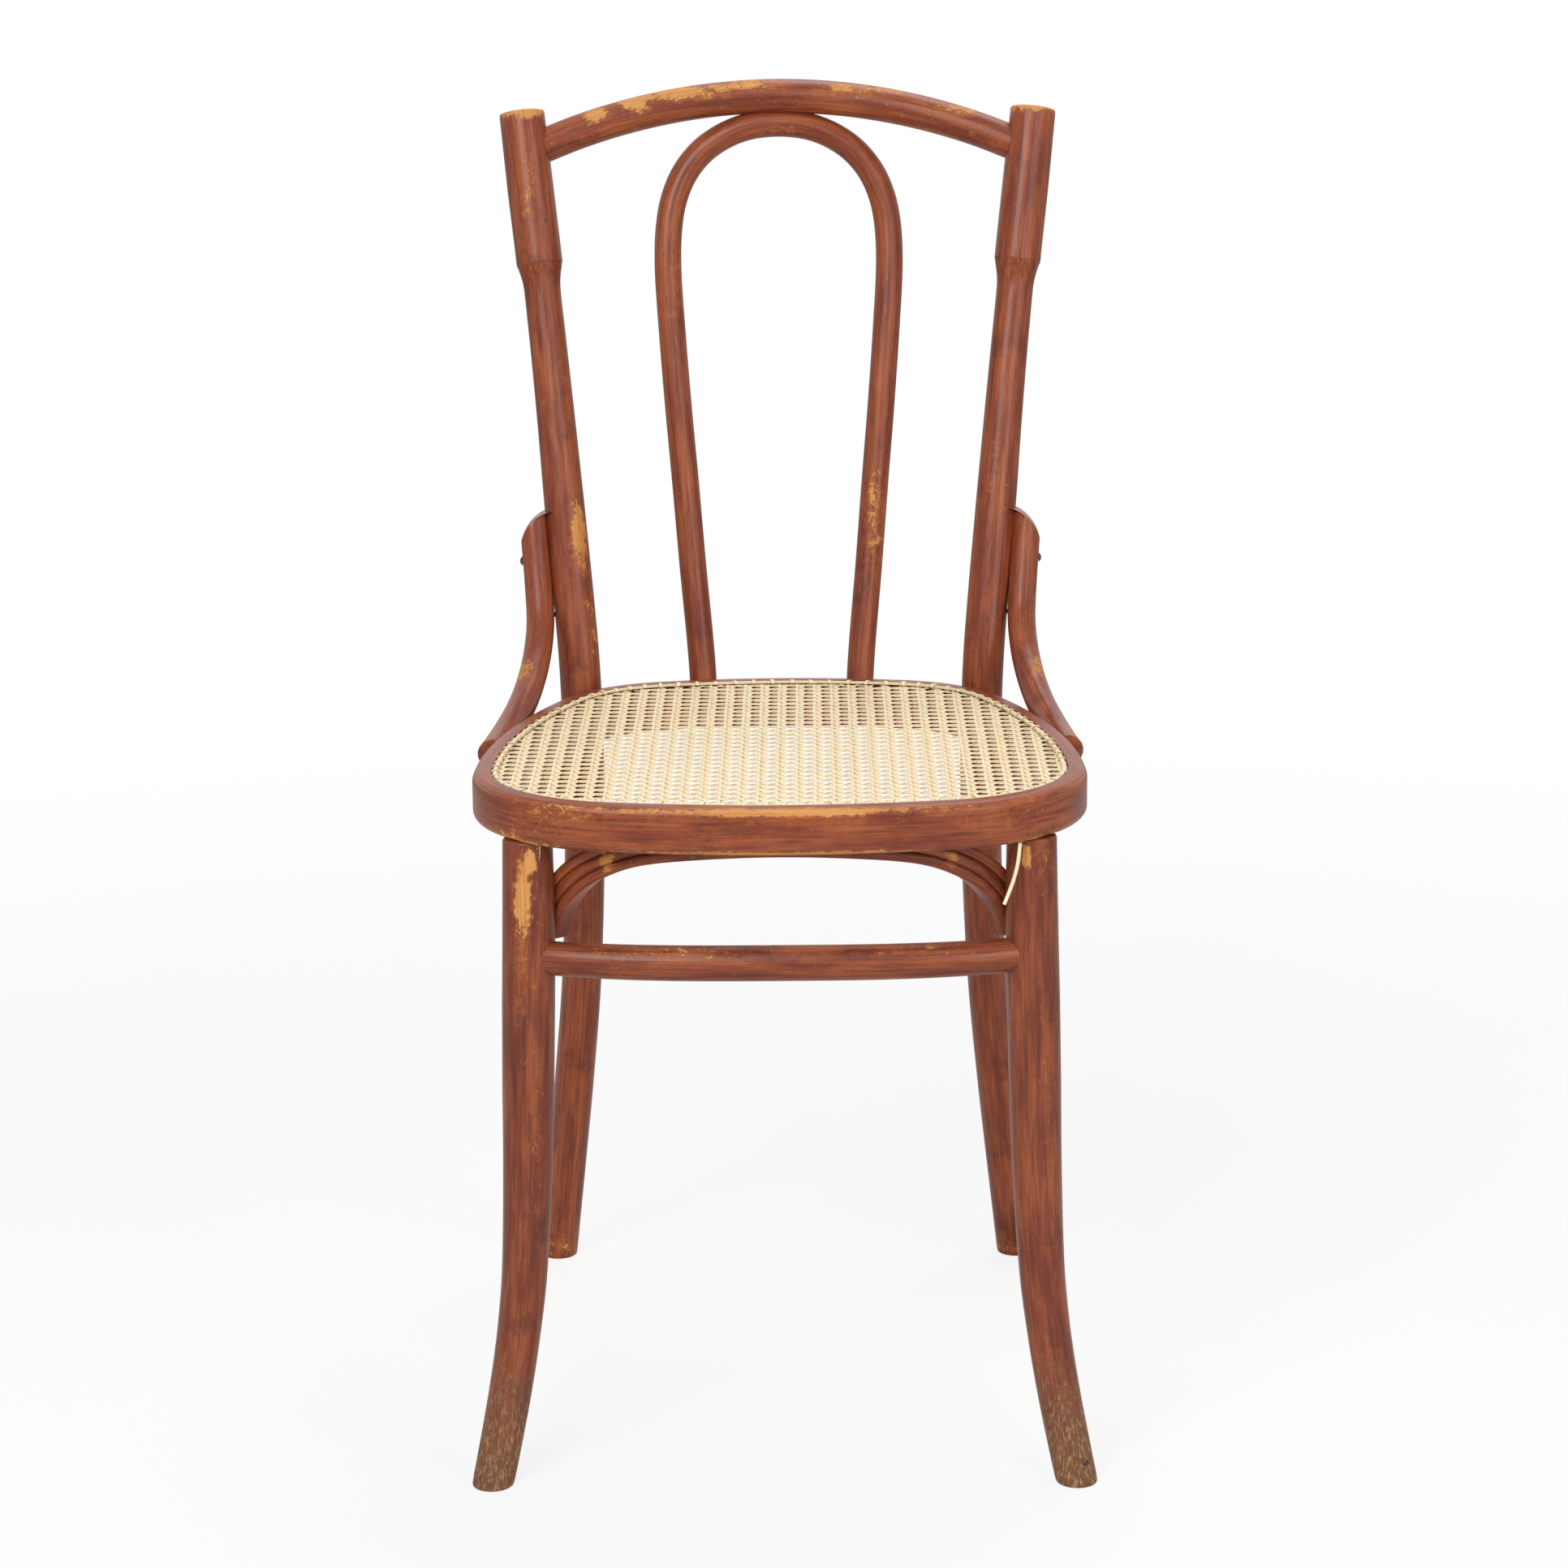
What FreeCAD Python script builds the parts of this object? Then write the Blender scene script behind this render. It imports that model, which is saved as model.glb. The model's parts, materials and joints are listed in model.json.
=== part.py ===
import FreeCAD
import Part
import math
import os

# Bentwood bistro chair with a hand-caned seat, in millimetres.
# The floor is z = 0, +X is to the right seen from the front, and the front of the seat faces -Y.
# Places along the depth are given as setbacks, measured backwards from the front of the seat.

# Driving sizes of the whole chair
OVERALL_DEPTH = 516.7
FRONT_Y = -OVERALL_DEPTH / 2

# Seat ring: one bent lath, seen from above as five tangent arcs on each side
SEAT_TOP = 462.0
RING_HEIGHT = 31.0
RING_WIDTH = 29.0
RING_EDGE_RADIUS = 6.0
RING_INNER_EDGE_RADIUS = 2.5
SEAT_DEPTH = 410.5
SEAT_HALF_WIDTH = 203.0
WIDEST_SETBACK = 120.0
FRONT_ARC_RADIUS = 550.0
FRONT_CORNER_RADIUS = 110.0
SIDE_ARC_RADIUS = 560.0
BACK_CORNER_RADIUS = 95.0
BACK_ARC_RADIUS = 400.0

# Cane seat, let into a rebate of the ring
REBATE_INSET = 12.5
REBATE_DEPTH = 4.4
CANE_THICKNESS = 2.2
CANE_PITCH = 12.4
CANE_HOLE_DIAMETER = 6.2
CANE_HOLE_MARGIN = 12.0
BINDER_WIDTH = 5.0
BINDER_THICKNESS = 1.4
LACING_INSET = 16.2
LACING_DIAMETER = 3.4
LACING_COUNT = 84
LACING_RUN_WIDTH = 2.6
LACING_RUN_THICKNESS = 1.2
LACING_CLEARANCE = 4.5

# Back posts: height, half spacing, setback and diameter at stations from the floor to the neck
POST_STATIONS = [
    (0.0, 174.0, 474.0, 27.0),
    (70.0, 166.6, 462.5, 28.6),
    (140.0, 159.0, 449.5, 29.2),
    (222.0, 151.0, 433.5, 29.2),
    (300.0, 146.4, 417.5, 29.2),
    (370.0, 144.2, 402.5, 29.4),
    (430.0, 143.9, 392.5, 29.6),
    (480.0, 145.7, 394.5, 29.4),
    (530.0, 149.9, 405.0, 29.3),
    (590.0, 155.6, 419.0, 28.9),
    (640.0, 160.2, 431.0, 27.6),
    (690.0, 165.1, 443.0, 26.6),
    (744.0, 170.7, 456.0, 26.2),
]
COLLAR_STATIONS = [
    (744.0, 170.7, 456.0, 26.2),
    (750.5, 171.4, 457.6, 29.6),
    (757.0, 172.1, 459.2, 33.2),
]
HEAD_STATIONS = [
    (757.0, 172.1, 459.2, 33.2),
    (808.0, 178.0, 471.4, 33.4),
    (863.0, 184.2, 484.5, 32.6),
]
POST_TOP_ROUNDING = 2.0
POST_BOLT_DIAMETER = 6.0
POST_BOLT_HEIGHT = 446.5
POST_BOLT_HEAD_DIAMETER = 13.0
POST_BOLT_HEAD_RISE = 3.0
WASHER_DIAMETER = 14.0
WASHER_THICKNESS = 1.5
NUT_FLATS = 10.0
NUT_THICKNESS = 5.0

# Crest rail: a round rod, arched upwards in front view and bowed backwards seen from above
CREST_DIAMETER = 24.5
CREST_HEIGHT = 871.8
CREST_ARCH_RADIUS = 453.0
CREST_END_HALF_SPACING = 182.0
CREST_END_SETBACK = 479.5
CREST_BOW = 25.0
CREST_TENON_DIAMETER = 15.0
CREST_TENON_START = 158.0

# Back hoop: half of the inverted U, from the foot to the apex, as half spacing and height
HOOP_DIAMETER = 19.5
HOOP_OUTLINE = [
    (56.0, 437.0),
    (58.0, 475.0),
    (63.9, 540.0),
    (68.9, 600.0),
    (73.9, 657.0),
    (78.2, 714.0),
    (80.3, 752.0),
    (79.4, 779.0),
    (75.4, 800.0),
    (66.4, 819.5),
    (50.5, 836.5),
    (27.0, 848.5),
    (0.0, 852.2),
]
HOOP_FOOT_SETBACK = 412.0
HOOP_FOOT_HEIGHT = 437.0
HOOP_DOWEL_DIAMETER = 6.0
HOOP_DOWEL_LENGTH = 26.0
HOOP_DOWEL_START = 848.0

# Front legs: height, half spacing, setback and diameter at stations from the foot to the seat
FRONT_LEG_STATIONS = [
    (0.0, 193.2, 16.0, 27.2),
    (18.0, 189.4, 20.0, 27.6),
    (60.0, 181.2, 28.0, 28.2),
    (100.0, 174.9, 34.5, 28.8),
    (141.0, 170.5, 40.0, 30.2),
    (210.0, 167.3, 46.0, 32.6),
    (265.0, 166.0, 49.5, 34.2),
    (320.0, 164.8, 52.0, 34.8),
    (374.0, 163.6, 54.0, 34.6),
    (431.0, 163.3, 55.4, 32.6),
]
LEG_TENON_DIAMETER = 20.0
LEG_TENON_LENGTH = 22.0
PEG_DIAMETER = 4.4
PEG_LENGTH = 30.0
PEG_TILT = 17.0
PEG_HEIGHT = 419.0
PEG_HALF_SPACING = 156.0
PEG_SETBACK = 38.6

# Front stretcher: a round rod bowed forwards between the front legs
STRETCHER_DIAMETER = 23.4
STRETCHER_END_DIAMETER = 22.0
STRETCHER_HEIGHT = 352.2
STRETCHER_BOW = 21.0
STRETCHER_TENON_DIAMETER = 14.0
STRETCHER_TENON_START = 140.0

# Under-seat arches, of a flat lath with three reeds on its outer face
ARCH_WIDTH = 22.0
ARCH_DEPTH = 14.0
REED_RISE = 2.4
REED_COUNT = 3
FRONT_ARCH_TOP = 445.0
FRONT_ARCH_SCREW_SPACING = 72.0
FRONT_ARCH_SCREW_HEIGHT = 437.0
ARCH_LEG_SCREW_HEIGHT = 377.0
ARCH_LEG_SCREW_DEPTH = 26.0
FRONT_ARCH_LINE = [
    (0.0, 434.4),
    (60.0, 431.6),
    (95.0, 426.4),
    (118.0, 417.4),
    (135.0, 405.0),
    (147.5, 388.0),
    (155.0, 366.0),
]
SIDE_ARCH_LINE = [
    (72.0, 161.5, 366.0),
    (82.0, 164.0, 389.0),
    (103.0, 167.5, 408.0),
    (138.0, 171.0, 417.5),
    (200.0, 173.0, 420.0),
    (262.0, 171.5, 420.0),
    (318.0, 168.0, 417.0),
    (348.0, 164.5, 406.0),
    (366.0, 161.0, 388.0),
    (376.0, 158.5, 366.0),
]
SIDE_ARCH_SEAT_SCREWS = ((175.0, 160.0), (177.0, 228.0))
SIDE_ARCH_SCREW_HEIGHT = 374.0

# Hip braces: setback, half spacing and height along the rod, from its foot to its tip
BRACE_DIAMETER = 20.0
BRACE_LINE = [
    (212.0, 196.5, 451.0),
    (245.0, 193.0, 451.5),
    (280.0, 188.5, 454.5),
    (315.0, 182.5, 462.0),
    (345.0, 177.5, 473.5),
    (370.0, 174.0, 489.0),
    (388.0, 172.6, 508.0),
    (400.0, 174.0, 532.0),
    (409.0, 176.3, 560.0),
    (417.0, 178.6, 590.0),
]
BRACE_TIP_RADIUS = 30.0
BRACE_TIP_CENTRE_SPACING = 157.4
BRACE_TIP_CENTRE_HEIGHT = 556.0
BRACE_FOOT_ROUNDING = 14.0
BRACE_SCREW_HEIGHTS = (511.0, 549.0)
BRACE_SEAT_SCREW_SETBACK = 226.0
BRACE_SEAT_SCREW_HEIGHT = 451.0

# Small fasteners
SCREW_SHANK_DIAMETER = 3.4
SCREW_HEAD_DIAMETER = 7.0
SCREW_HEAD_RISE = 2.0
PIN_DIAMETER = 2.6
PIN_HEAD_DIAMETER = 5.0
NAIL_HEIGHT = 15.8
NAIL_ANGLE = -52.0
NAIL_DIAMETER = 2.4
NAIL_HEAD_DIAMETER = 5.6
NAIL_LENGTH = 14.0

# Loose end of cane that hangs from the seat beside the right front leg
LOOSE_END_DIAMETER = 2.4
LOOSE_END_ROUTE = [
    (154.6, 33.0, 431.0),
    (154.0, 32.6, 421.0),
    (151.6, 31.8, 410.0),
    (148.2, 30.8, 400.0),
    (144.4, 29.8, 391.0),
]

RING_BOTTOM = SEAT_TOP - RING_HEIGHT
REBATE_FLOOR = SEAT_TOP - REBATE_DEPTH
CANE_TOP = REBATE_FLOOR + CANE_THICKNESS
LEFT_OF_MIDDLE = FreeCAD.Vector(1, 0, 0)
ORIGIN = FreeCAD.Vector(0, 0, 0)
SIDES = (("left", -1), ("right", 1))

os.makedirs("parts", exist_ok=True)


def point_at(x, setback, height):
    return FreeCAD.Vector(x, FRONT_Y + setback, height)


def on_side(shape, sign):
    """Return the shape, modelled at +X, on the wanted side of the chair."""
    if sign > 0:
        return shape.copy()
    return shape.mirror(ORIGIN, LEFT_OF_MIDDLE)


def save(name, *shapes):
    """Write the solids as one node."""
    solids = []
    for shape in shapes:
        solids.extend(shape.Solids)
    node = solids[0] if len(solids) == 1 else Part.makeCompound(solids)
    node.exportStep("parts/" + name + ".step")
    box = node.BoundBox
    print("%-26s solids %3d volume %10.0f valid %s" % (name, len(solids), node.Volume, node.isValid()),
          "x %.1f..%.1f y %.1f..%.1f z %.1f..%.1f" % (box.XMin, box.XMax, box.YMin, box.YMax, box.ZMin, box.ZMax))


def section_placement(point, tangent, reference):
    """Lay a flat section at the point, square to the tangent, with its own X near the reference."""
    z_axis = FreeCAD.Vector(tangent).normalize()
    y_axis = z_axis.cross(reference).normalize()
    x_axis = y_axis.cross(z_axis)
    return FreeCAD.Placement(point, FreeCAD.Rotation(x_axis, y_axis, z_axis, "ZXY"))


def stations_along(points):
    """Return each point with the direction of the smooth curve through all of them."""
    curve = Part.BSplineCurve()
    curve.interpolate(points)
    stations = []
    for point in points:
        stations.append((point, curve.tangent(curve.parameter(point))[0]))
    return stations


def bent_rod(points, diameters, reference):
    """Loft a round rod through the points."""
    sections = []
    for (point, tangent), diameter in zip(stations_along(points), diameters):
        circle = Part.Wire(Part.makeCircle(diameter / 2))
        circle.Placement = section_placement(point, tangent, reference)
        sections.append(circle)
    return Part.makeLoft(sections, True, False)


def straight_rod(start, end, diameter):
    return Part.makeCylinder(diameter / 2, (end - start).Length, start, end - start)


def tangent_centre(first_centre, first_radius, second_centre, second_radius, radius):
    """Centre of the arc of the given radius that joins two larger arcs inside them, at +X."""
    a = first_radius - radius
    b = second_radius - radius
    between = second_centre - first_centre
    span = between.Length
    along = (a * a - b * b + span * span) / (2 * span)
    aside = math.sqrt(a * a - along * along)
    unit = FreeCAD.Vector(between).normalize()
    across = FreeCAD.Vector(-unit.y, unit.x, 0)
    candidates = (first_centre + unit * along + across * aside, first_centre + unit * along - across * aside)
    return max(candidates, key=lambda centre: centre.x)


BACK_Y = FRONT_Y + SEAT_DEPTH
WIDEST_Y = FRONT_Y + WIDEST_SETBACK
FRONT_CENTRE = FreeCAD.Vector(0, FRONT_Y + FRONT_ARC_RADIUS, 0)
BACK_CENTRE = FreeCAD.Vector(0, BACK_Y - BACK_ARC_RADIUS, 0)
SIDE_CENTRE = FreeCAD.Vector(SEAT_HALF_WIDTH - SIDE_ARC_RADIUS, WIDEST_Y, 0)
FRONT_CORNER = tangent_centre(FRONT_CENTRE, FRONT_ARC_RADIUS, SIDE_CENTRE, SIDE_ARC_RADIUS, FRONT_CORNER_RADIUS)
BACK_CORNER = tangent_centre(SIDE_CENTRE, SIDE_ARC_RADIUS, BACK_CENTRE, BACK_ARC_RADIUS, BACK_CORNER_RADIUS)


def touch_point(big_centre, small_centre, small_radius):
    """Point where the small arc meets the big one around it."""
    outward = FreeCAD.Vector(small_centre - big_centre).normalize()
    return small_centre + outward * small_radius


def seat_outline(inset, height):
    """Closed outline of the seat, drawn in by the inset, at the given height."""
    front = FRONT_CENTRE - FreeCAD.Vector(0, FRONT_ARC_RADIUS - inset, 0)
    front_joint = touch_point(FRONT_CENTRE, FRONT_CORNER, FRONT_CORNER_RADIUS - inset)
    side_joint = touch_point(SIDE_CENTRE, FRONT_CORNER, FRONT_CORNER_RADIUS - inset)
    side = SIDE_CENTRE + FreeCAD.Vector(SIDE_ARC_RADIUS - inset, 0, 0)
    rear_joint = touch_point(SIDE_CENTRE, BACK_CORNER, BACK_CORNER_RADIUS - inset)
    back_joint = touch_point(BACK_CENTRE, BACK_CORNER, BACK_CORNER_RADIUS - inset)
    back = BACK_CENTRE + FreeCAD.Vector(0, BACK_ARC_RADIUS - inset, 0)
    front_corner = arc_middle(FRONT_CORNER, front_joint, side_joint)
    back_corner = arc_middle(BACK_CORNER, rear_joint, back_joint)
    right = [
        Part.Arc(front_joint, front_corner, side_joint).toShape(),
        Part.Arc(side_joint, side, rear_joint).toShape(),
        Part.Arc(rear_joint, back_corner, back_joint).toShape(),
    ]
    left = []
    for edge in right:
        left.append(edge.mirror(ORIGIN, LEFT_OF_MIDDLE))
    front_edge = Part.Arc(mirrored(front_joint), front, front_joint).toShape()
    back_edge = Part.Arc(back_joint, back, mirrored(back_joint)).toShape()
    edges = [front_edge] + right + [back_edge] + left
    outline = Part.Wire(Part.__sortEdges__(edges))
    outline.translate(FreeCAD.Vector(0, 0, height))
    return outline


def mirrored(point):
    return FreeCAD.Vector(-point.x, point.y, point.z)


def arc_middle(centre, start, end):
    """Middle of the short arc between two points about a centre."""
    middle = FreeCAD.Vector((start + end) * 0.5 - centre).normalize()
    return centre + middle * (start - centre).Length


def seat_prism(inset, bottom, top):
    """Solid plate with the seat's outline."""
    return Part.Face(seat_outline(inset, bottom)).extrude(FreeCAD.Vector(0, 0, top - bottom))


def outline_points(inset, height, count):
    """Evenly spaced points along the outline, with the outward direction at each."""
    outline = seat_outline(inset, height)
    outer = seat_outline(inset - 1, height)
    found = []
    for point in outline.discretize(Number=count + 1)[:count]:
        nearest = outer.distToShape(Part.Vertex(point))[1][0][0]
        outward = FreeCAD.Vector(nearest - point).normalize()
        found.append((point, outward))
    return found


def domed_screw(seat_point, inward, shank_length, shank, head, rise):
    """Round-headed screw whose head sits on the point and whose shank runs inward."""
    direction = FreeCAD.Vector(inward).normalize()
    radius = (head * head / 4 + rise * rise) / (2 * rise)
    ball = Part.makeSphere(radius, seat_point + direction * (radius - rise))
    cap_space = Part.makeCylinder(head, head, seat_point - direction * head, direction)
    body = straight_rod(seat_point, seat_point + direction * shank_length, shank)
    return ball.common(cap_space).fuse(body).removeSplitter()


def flat_screw(seat_point, inward, length):
    """Countersunk wood screw, its head flush with the point."""
    direction = FreeCAD.Vector(inward).normalize()
    head_depth = (SCREW_HEAD_DIAMETER - SCREW_SHANK_DIAMETER) / 2
    cone = Part.makeCone(SCREW_HEAD_DIAMETER / 2, SCREW_SHANK_DIAMETER / 2, head_depth, seat_point, direction)
    return cone.fuse(straight_rod(seat_point, seat_point + direction * length, SCREW_SHANK_DIAMETER)).removeSplitter()


def surface_hit(shape, start, direction, reach):
    """First point where a line from start meets the shape."""
    line = Part.makeLine(start, start + FreeCAD.Vector(direction).normalize() * reach)
    inside = line.common(shape)
    points = [vertex.Point for vertex in inside.Vertexes]
    return min(points, key=lambda point: (point - start).Length)


def reeded_section():
    """Section of an under-seat arch: X is its width, Y its depth, with reeds towards -Y."""
    half = ARCH_WIDTH / 2
    back = ARCH_DEPTH / 2
    front = -ARCH_DEPTH / 2 + REED_RISE
    reed = ARCH_WIDTH / REED_COUNT
    edges = []
    for index in range(REED_COUNT):
        start = FreeCAD.Vector(-half + index * reed, front, 0)
        end = FreeCAD.Vector(-half + (index + 1) * reed, front, 0)
        top = FreeCAD.Vector((start.x + end.x) / 2, front - REED_RISE, 0)
        edges.append(Part.Arc(start, top, end).toShape())
    corners = [
        FreeCAD.Vector(half, front, 0),
        FreeCAD.Vector(half, back, 0),
        FreeCAD.Vector(-half, back, 0),
        FreeCAD.Vector(-half, front, 0),
    ]
    for start, end in zip(corners, corners[1:]):
        edges.append(Part.makeLine(start, end))
    return Part.Wire(edges)


def reeded_bow(points, outward_directions):
    """Loft the reeded section along the points; the reeds face the outward directions."""
    sections = []
    for (point, tangent), outward in zip(stations_along(points), outward_directions):
        along = FreeCAD.Vector(tangent).normalize()
        depth_axis = FreeCAD.Vector(outward) * -1
        depth_axis = (depth_axis - along * depth_axis.dot(along)).normalize()
        width_axis = depth_axis.cross(along)
        section = reeded_section()
        section.Placement = FreeCAD.Placement(point, FreeCAD.Rotation(width_axis, depth_axis, along, "ZYX"))
        sections.append(section)
    return Part.makeLoft(sections, True, False)


def station_points(stations):
    points = []
    for height, half_spacing, setback, diameter in stations:
        points.append(point_at(half_spacing, setback, height))
    return points


def station_diameters(stations):
    return [station[3] for station in stations]


def make_post():
    """One bent piece: back leg, upright, collar and cylindrical head, at +X."""
    across = FreeCAD.Vector(1, 0, 0)
    stations = POST_STATIONS + COLLAR_STATIONS[1:] + HEAD_STATIONS[1:]
    placed = stations_along(station_points(stations))
    wires = []
    for (point, tangent), diameter in zip(placed, station_diameters(stations)):
        wire = Part.Wire(Part.makeCircle(diameter / 2))
        if point is placed[0][0]:
            tangent = FreeCAD.Vector(0, 0, 1)
        wire.Placement = section_placement(point, tangent, across)
        wires.append(wire)
    neck = len(POST_STATIONS) - 1
    collar = neck + len(COLLAR_STATIONS) - 1
    shaft = Part.makeLoft(wires[:neck + 1], True, False)
    cone = Part.makeLoft(wires[neck:collar + 1], True, True)
    head = Part.makeLoft(wires[collar:], True, False)
    top_edge = [edge for edge in head.Edges if edge.isClosed() and edge.BoundBox.ZMin > HEAD_STATIONS[1][0]]
    head = head.makeFillet(POST_TOP_ROUNDING, top_edge)
    return shaft.fuse([cone, head]).removeSplitter()


def crest_point(x):
    drop = CREST_ARCH_RADIUS - math.sqrt(CREST_ARCH_RADIUS ** 2 - x * x)
    bow = CREST_BOW * (1 - (x / CREST_END_HALF_SPACING) ** 2)
    return point_at(x, CREST_END_SETBACK + bow, CREST_HEIGHT - drop)


def make_crest():
    """Crest rail with a round tenon at each end."""
    step = CREST_END_HALF_SPACING / 4
    points = [crest_point(index * step) for index in range(-4, 5)]
    return bent_rod(points, [CREST_DIAMETER] * len(points), FreeCAD.Vector(0, 0, 1))


def make_crest_tenon():
    """Tenon of the crest rail at +X, inside the post's head."""
    return straight_rod(crest_point(CREST_TENON_START), crest_point(CREST_END_HALF_SPACING), CREST_TENON_DIAMETER)


def hoop_setback(height):
    """The hoop leans from the back of the ring to the middle of the crest rail."""
    share = (height - HOOP_FOOT_HEIGHT) / (HOOP_OUTLINE[-1][1] - HOOP_FOOT_HEIGHT)
    top_setback = CREST_END_SETBACK + CREST_BOW
    return HOOP_FOOT_SETBACK + (top_setback - HOOP_FOOT_SETBACK) * share


def make_hoop():
    half = [point_at(x, hoop_setback(height), height) for x, height in HOOP_OUTLINE]
    other_half = [mirrored(point) for point in reversed(half[:-1])]
    points = half + other_half
    return bent_rod(points, [HOOP_DIAMETER] * len(points), FreeCAD.Vector(0, -1, 0))


def make_front_leg():
    """Front leg at +X: a swelled shaft with a curved foot, flat under the ring."""
    across = FreeCAD.Vector(1, 0, 0)
    placed = stations_along(station_points(FRONT_LEG_STATIONS))
    wires = []
    for (point, tangent), diameter in zip(placed, station_diameters(FRONT_LEG_STATIONS)):
        wire = Part.Wire(Part.makeCircle(diameter / 2))
        if point is placed[0][0] or point is placed[-1][0]:
            tangent = FreeCAD.Vector(0, 0, 1)
        wire.Placement = section_placement(point, tangent, across)
        wires.append(wire)
    shaft = Part.makeLoft(wires, True, False)
    top = placed[-1][0]
    tenon = Part.makeCylinder(LEG_TENON_DIAMETER / 2, LEG_TENON_LENGTH, top)
    return shaft, tenon


def leg_axis_point(height):
    """Point on the front leg's axis at +X."""
    for low, high in zip(FRONT_LEG_STATIONS, FRONT_LEG_STATIONS[1:]):
        if low[0] <= height <= high[0]:
            share = (height - low[0]) / (high[0] - low[0])
            spacing = low[1] + (high[1] - low[1]) * share
            setback = low[2] + (high[2] - low[2]) * share
            return point_at(spacing, setback, height)
    raise ValueError("height is outside the leg")


def post_axis_point(height):
    """Point on the back post's axis at +X."""
    for low, high in zip(POST_STATIONS, POST_STATIONS[1:]):
        if low[0] <= height <= high[0]:
            share = (height - low[0]) / (high[0] - low[0])
            spacing = low[1] + (high[1] - low[1]) * share
            setback = low[2] + (high[2] - low[2]) * share
            return point_at(spacing, setback, height)
    raise ValueError("height is outside the post")


def make_stretcher():
    """Stretcher between the front legs, bowed forwards most of all near its ends."""
    end = leg_axis_point(STRETCHER_HEIGHT)
    points = []
    diameters = []
    for index in range(-5, 6):
        share = index / 5
        bow = STRETCHER_BOW * (1 - abs(share) ** 3)
        points.append(FreeCAD.Vector(end.x * share, end.y - bow, STRETCHER_HEIGHT))
        diameters.append(STRETCHER_DIAMETER + (STRETCHER_END_DIAMETER - STRETCHER_DIAMETER) * abs(share) ** 3)
    rod = bent_rod(points, diameters, FreeCAD.Vector(0, 0, 1))
    start = FreeCAD.Vector(STRETCHER_TENON_START, points[-1].y - 3.0, STRETCHER_HEIGHT)
    tenon = straight_rod(start, end, STRETCHER_TENON_DIAMETER)
    return rod, tenon


def make_front_arch():
    """Reeded arch under the front rail, following the ring's inner wall."""
    wall = seat_outline(RING_WIDTH, 0)
    half = []
    for x, height in FRONT_ARCH_LINE:
        line = Part.makeLine(FreeCAD.Vector(x, FRONT_Y - 10, 0), FreeCAD.Vector(x, FRONT_Y + 115, 0))
        on_wall = line.distToShape(wall)[1][0][0]
        outer = seat_outline(RING_WIDTH - 1, 0)
        nearest = outer.distToShape(Part.Vertex(on_wall))[1][0][0]
        outward = FreeCAD.Vector(nearest - on_wall).normalize()
        centre = on_wall - outward * (ARCH_DEPTH / 2 - REED_RISE)
        half.append((FreeCAD.Vector(centre.x, centre.y, height), outward))
    other_half = [(mirrored(point), mirrored(outward)) for point, outward in half[1:]]
    stations = list(reversed(other_half)) + half
    bow = reeded_bow([station[0] for station in stations], [station[1] for station in stations])
    return bow


def make_side_arch():
    """Reeded arch under the side of the ring at +X, from front leg to back leg."""
    points = [point_at(x, setback, height) for setback, x, height in SIDE_ARCH_LINE]
    outward = [FreeCAD.Vector(1, 0, 0)] * len(points)
    return reeded_bow(points, outward)


def make_brace():
    """Hip brace at +X, before it is cut to lie against the post and the ring."""
    points = [point_at(x, setback, height) for setback, x, height in BRACE_LINE]
    rod = bent_rod(points, [BRACE_DIAMETER] * len(points), FreeCAD.Vector(1, 0, 0))
    tip_centre = FreeCAD.Vector(BRACE_TIP_CENTRE_SPACING, points[-1].y - 60, BRACE_TIP_CENTRE_HEIGHT)
    keep_round = Part.makeCylinder(BRACE_TIP_RADIUS, 120, tip_centre, FreeCAD.Vector(0, 1, 0))
    keep_below = Part.makeBox(200, 400, BRACE_TIP_CENTRE_HEIGHT, FreeCAD.Vector(100, FRONT_Y + 100, 0))
    rod = rod.common(keep_round.fuse(keep_below))
    foot = points[0]
    nose = Part.makeCylinder(BRACE_FOOT_ROUNDING, 60,
                             FreeCAD.Vector(foot.x - 30, foot.y + BRACE_FOOT_ROUNDING - 2.5, foot.z),
                             FreeCAD.Vector(1, 0, 0))
    behind = Part.makeBox(200, 400, 400, FreeCAD.Vector(100, foot.y + BRACE_FOOT_ROUNDING - 2.5, 300))
    return rod.common(nose.fuse(behind))


def make_loose_end():
    """Free cane end: straight runs joined by arcs that touch them."""
    corners = [point_at(x, setback, height) for x, setback, height in LOOSE_END_ROUTE]
    edges = []
    start = corners[0]
    for before, corner, after in zip(corners, corners[1:], corners[2:]):
        arrive = FreeCAD.Vector(corner - before)
        leave = FreeCAD.Vector(after - corner)
        shorter = min(arrive.Length, leave.Length)
        turn = arrive.getAngle(leave)
        cut = 0.45 * shorter
        print("loose end: arc radius %.1f" % (cut / math.tan(turn / 2)))
        first = corner - arrive.normalize() * cut
        last = corner + leave.normalize() * cut
        radius = cut / math.tan(turn / 2)
        to_centre = FreeCAD.Vector((first + last) * 0.5 - corner).normalize()
        centre = corner + to_centre * (radius / math.cos(turn / 2))
        middle = centre - to_centre * radius
        edges.append(Part.LineSegment(start, first).toShape())
        edges.append(Part.Arc(first, middle, last).toShape())
        start = last
    edges.append(Part.LineSegment(start, corners[-1]).toShape())
    path = Part.Wire(edges)
    section = Part.Wire(Part.makeCircle(LOOSE_END_DIAMETER / 2, corners[0], corners[1] - corners[0]))
    tube = path.makePipeShell([section], True, False)
    wanted = math.pi * LOOSE_END_DIAMETER ** 2 / 4 * path.Length
    print("loose end: length %.1f volume %.1f of %.1f" % (path.Length, tube.Volume, wanted))
    return tube


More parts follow.
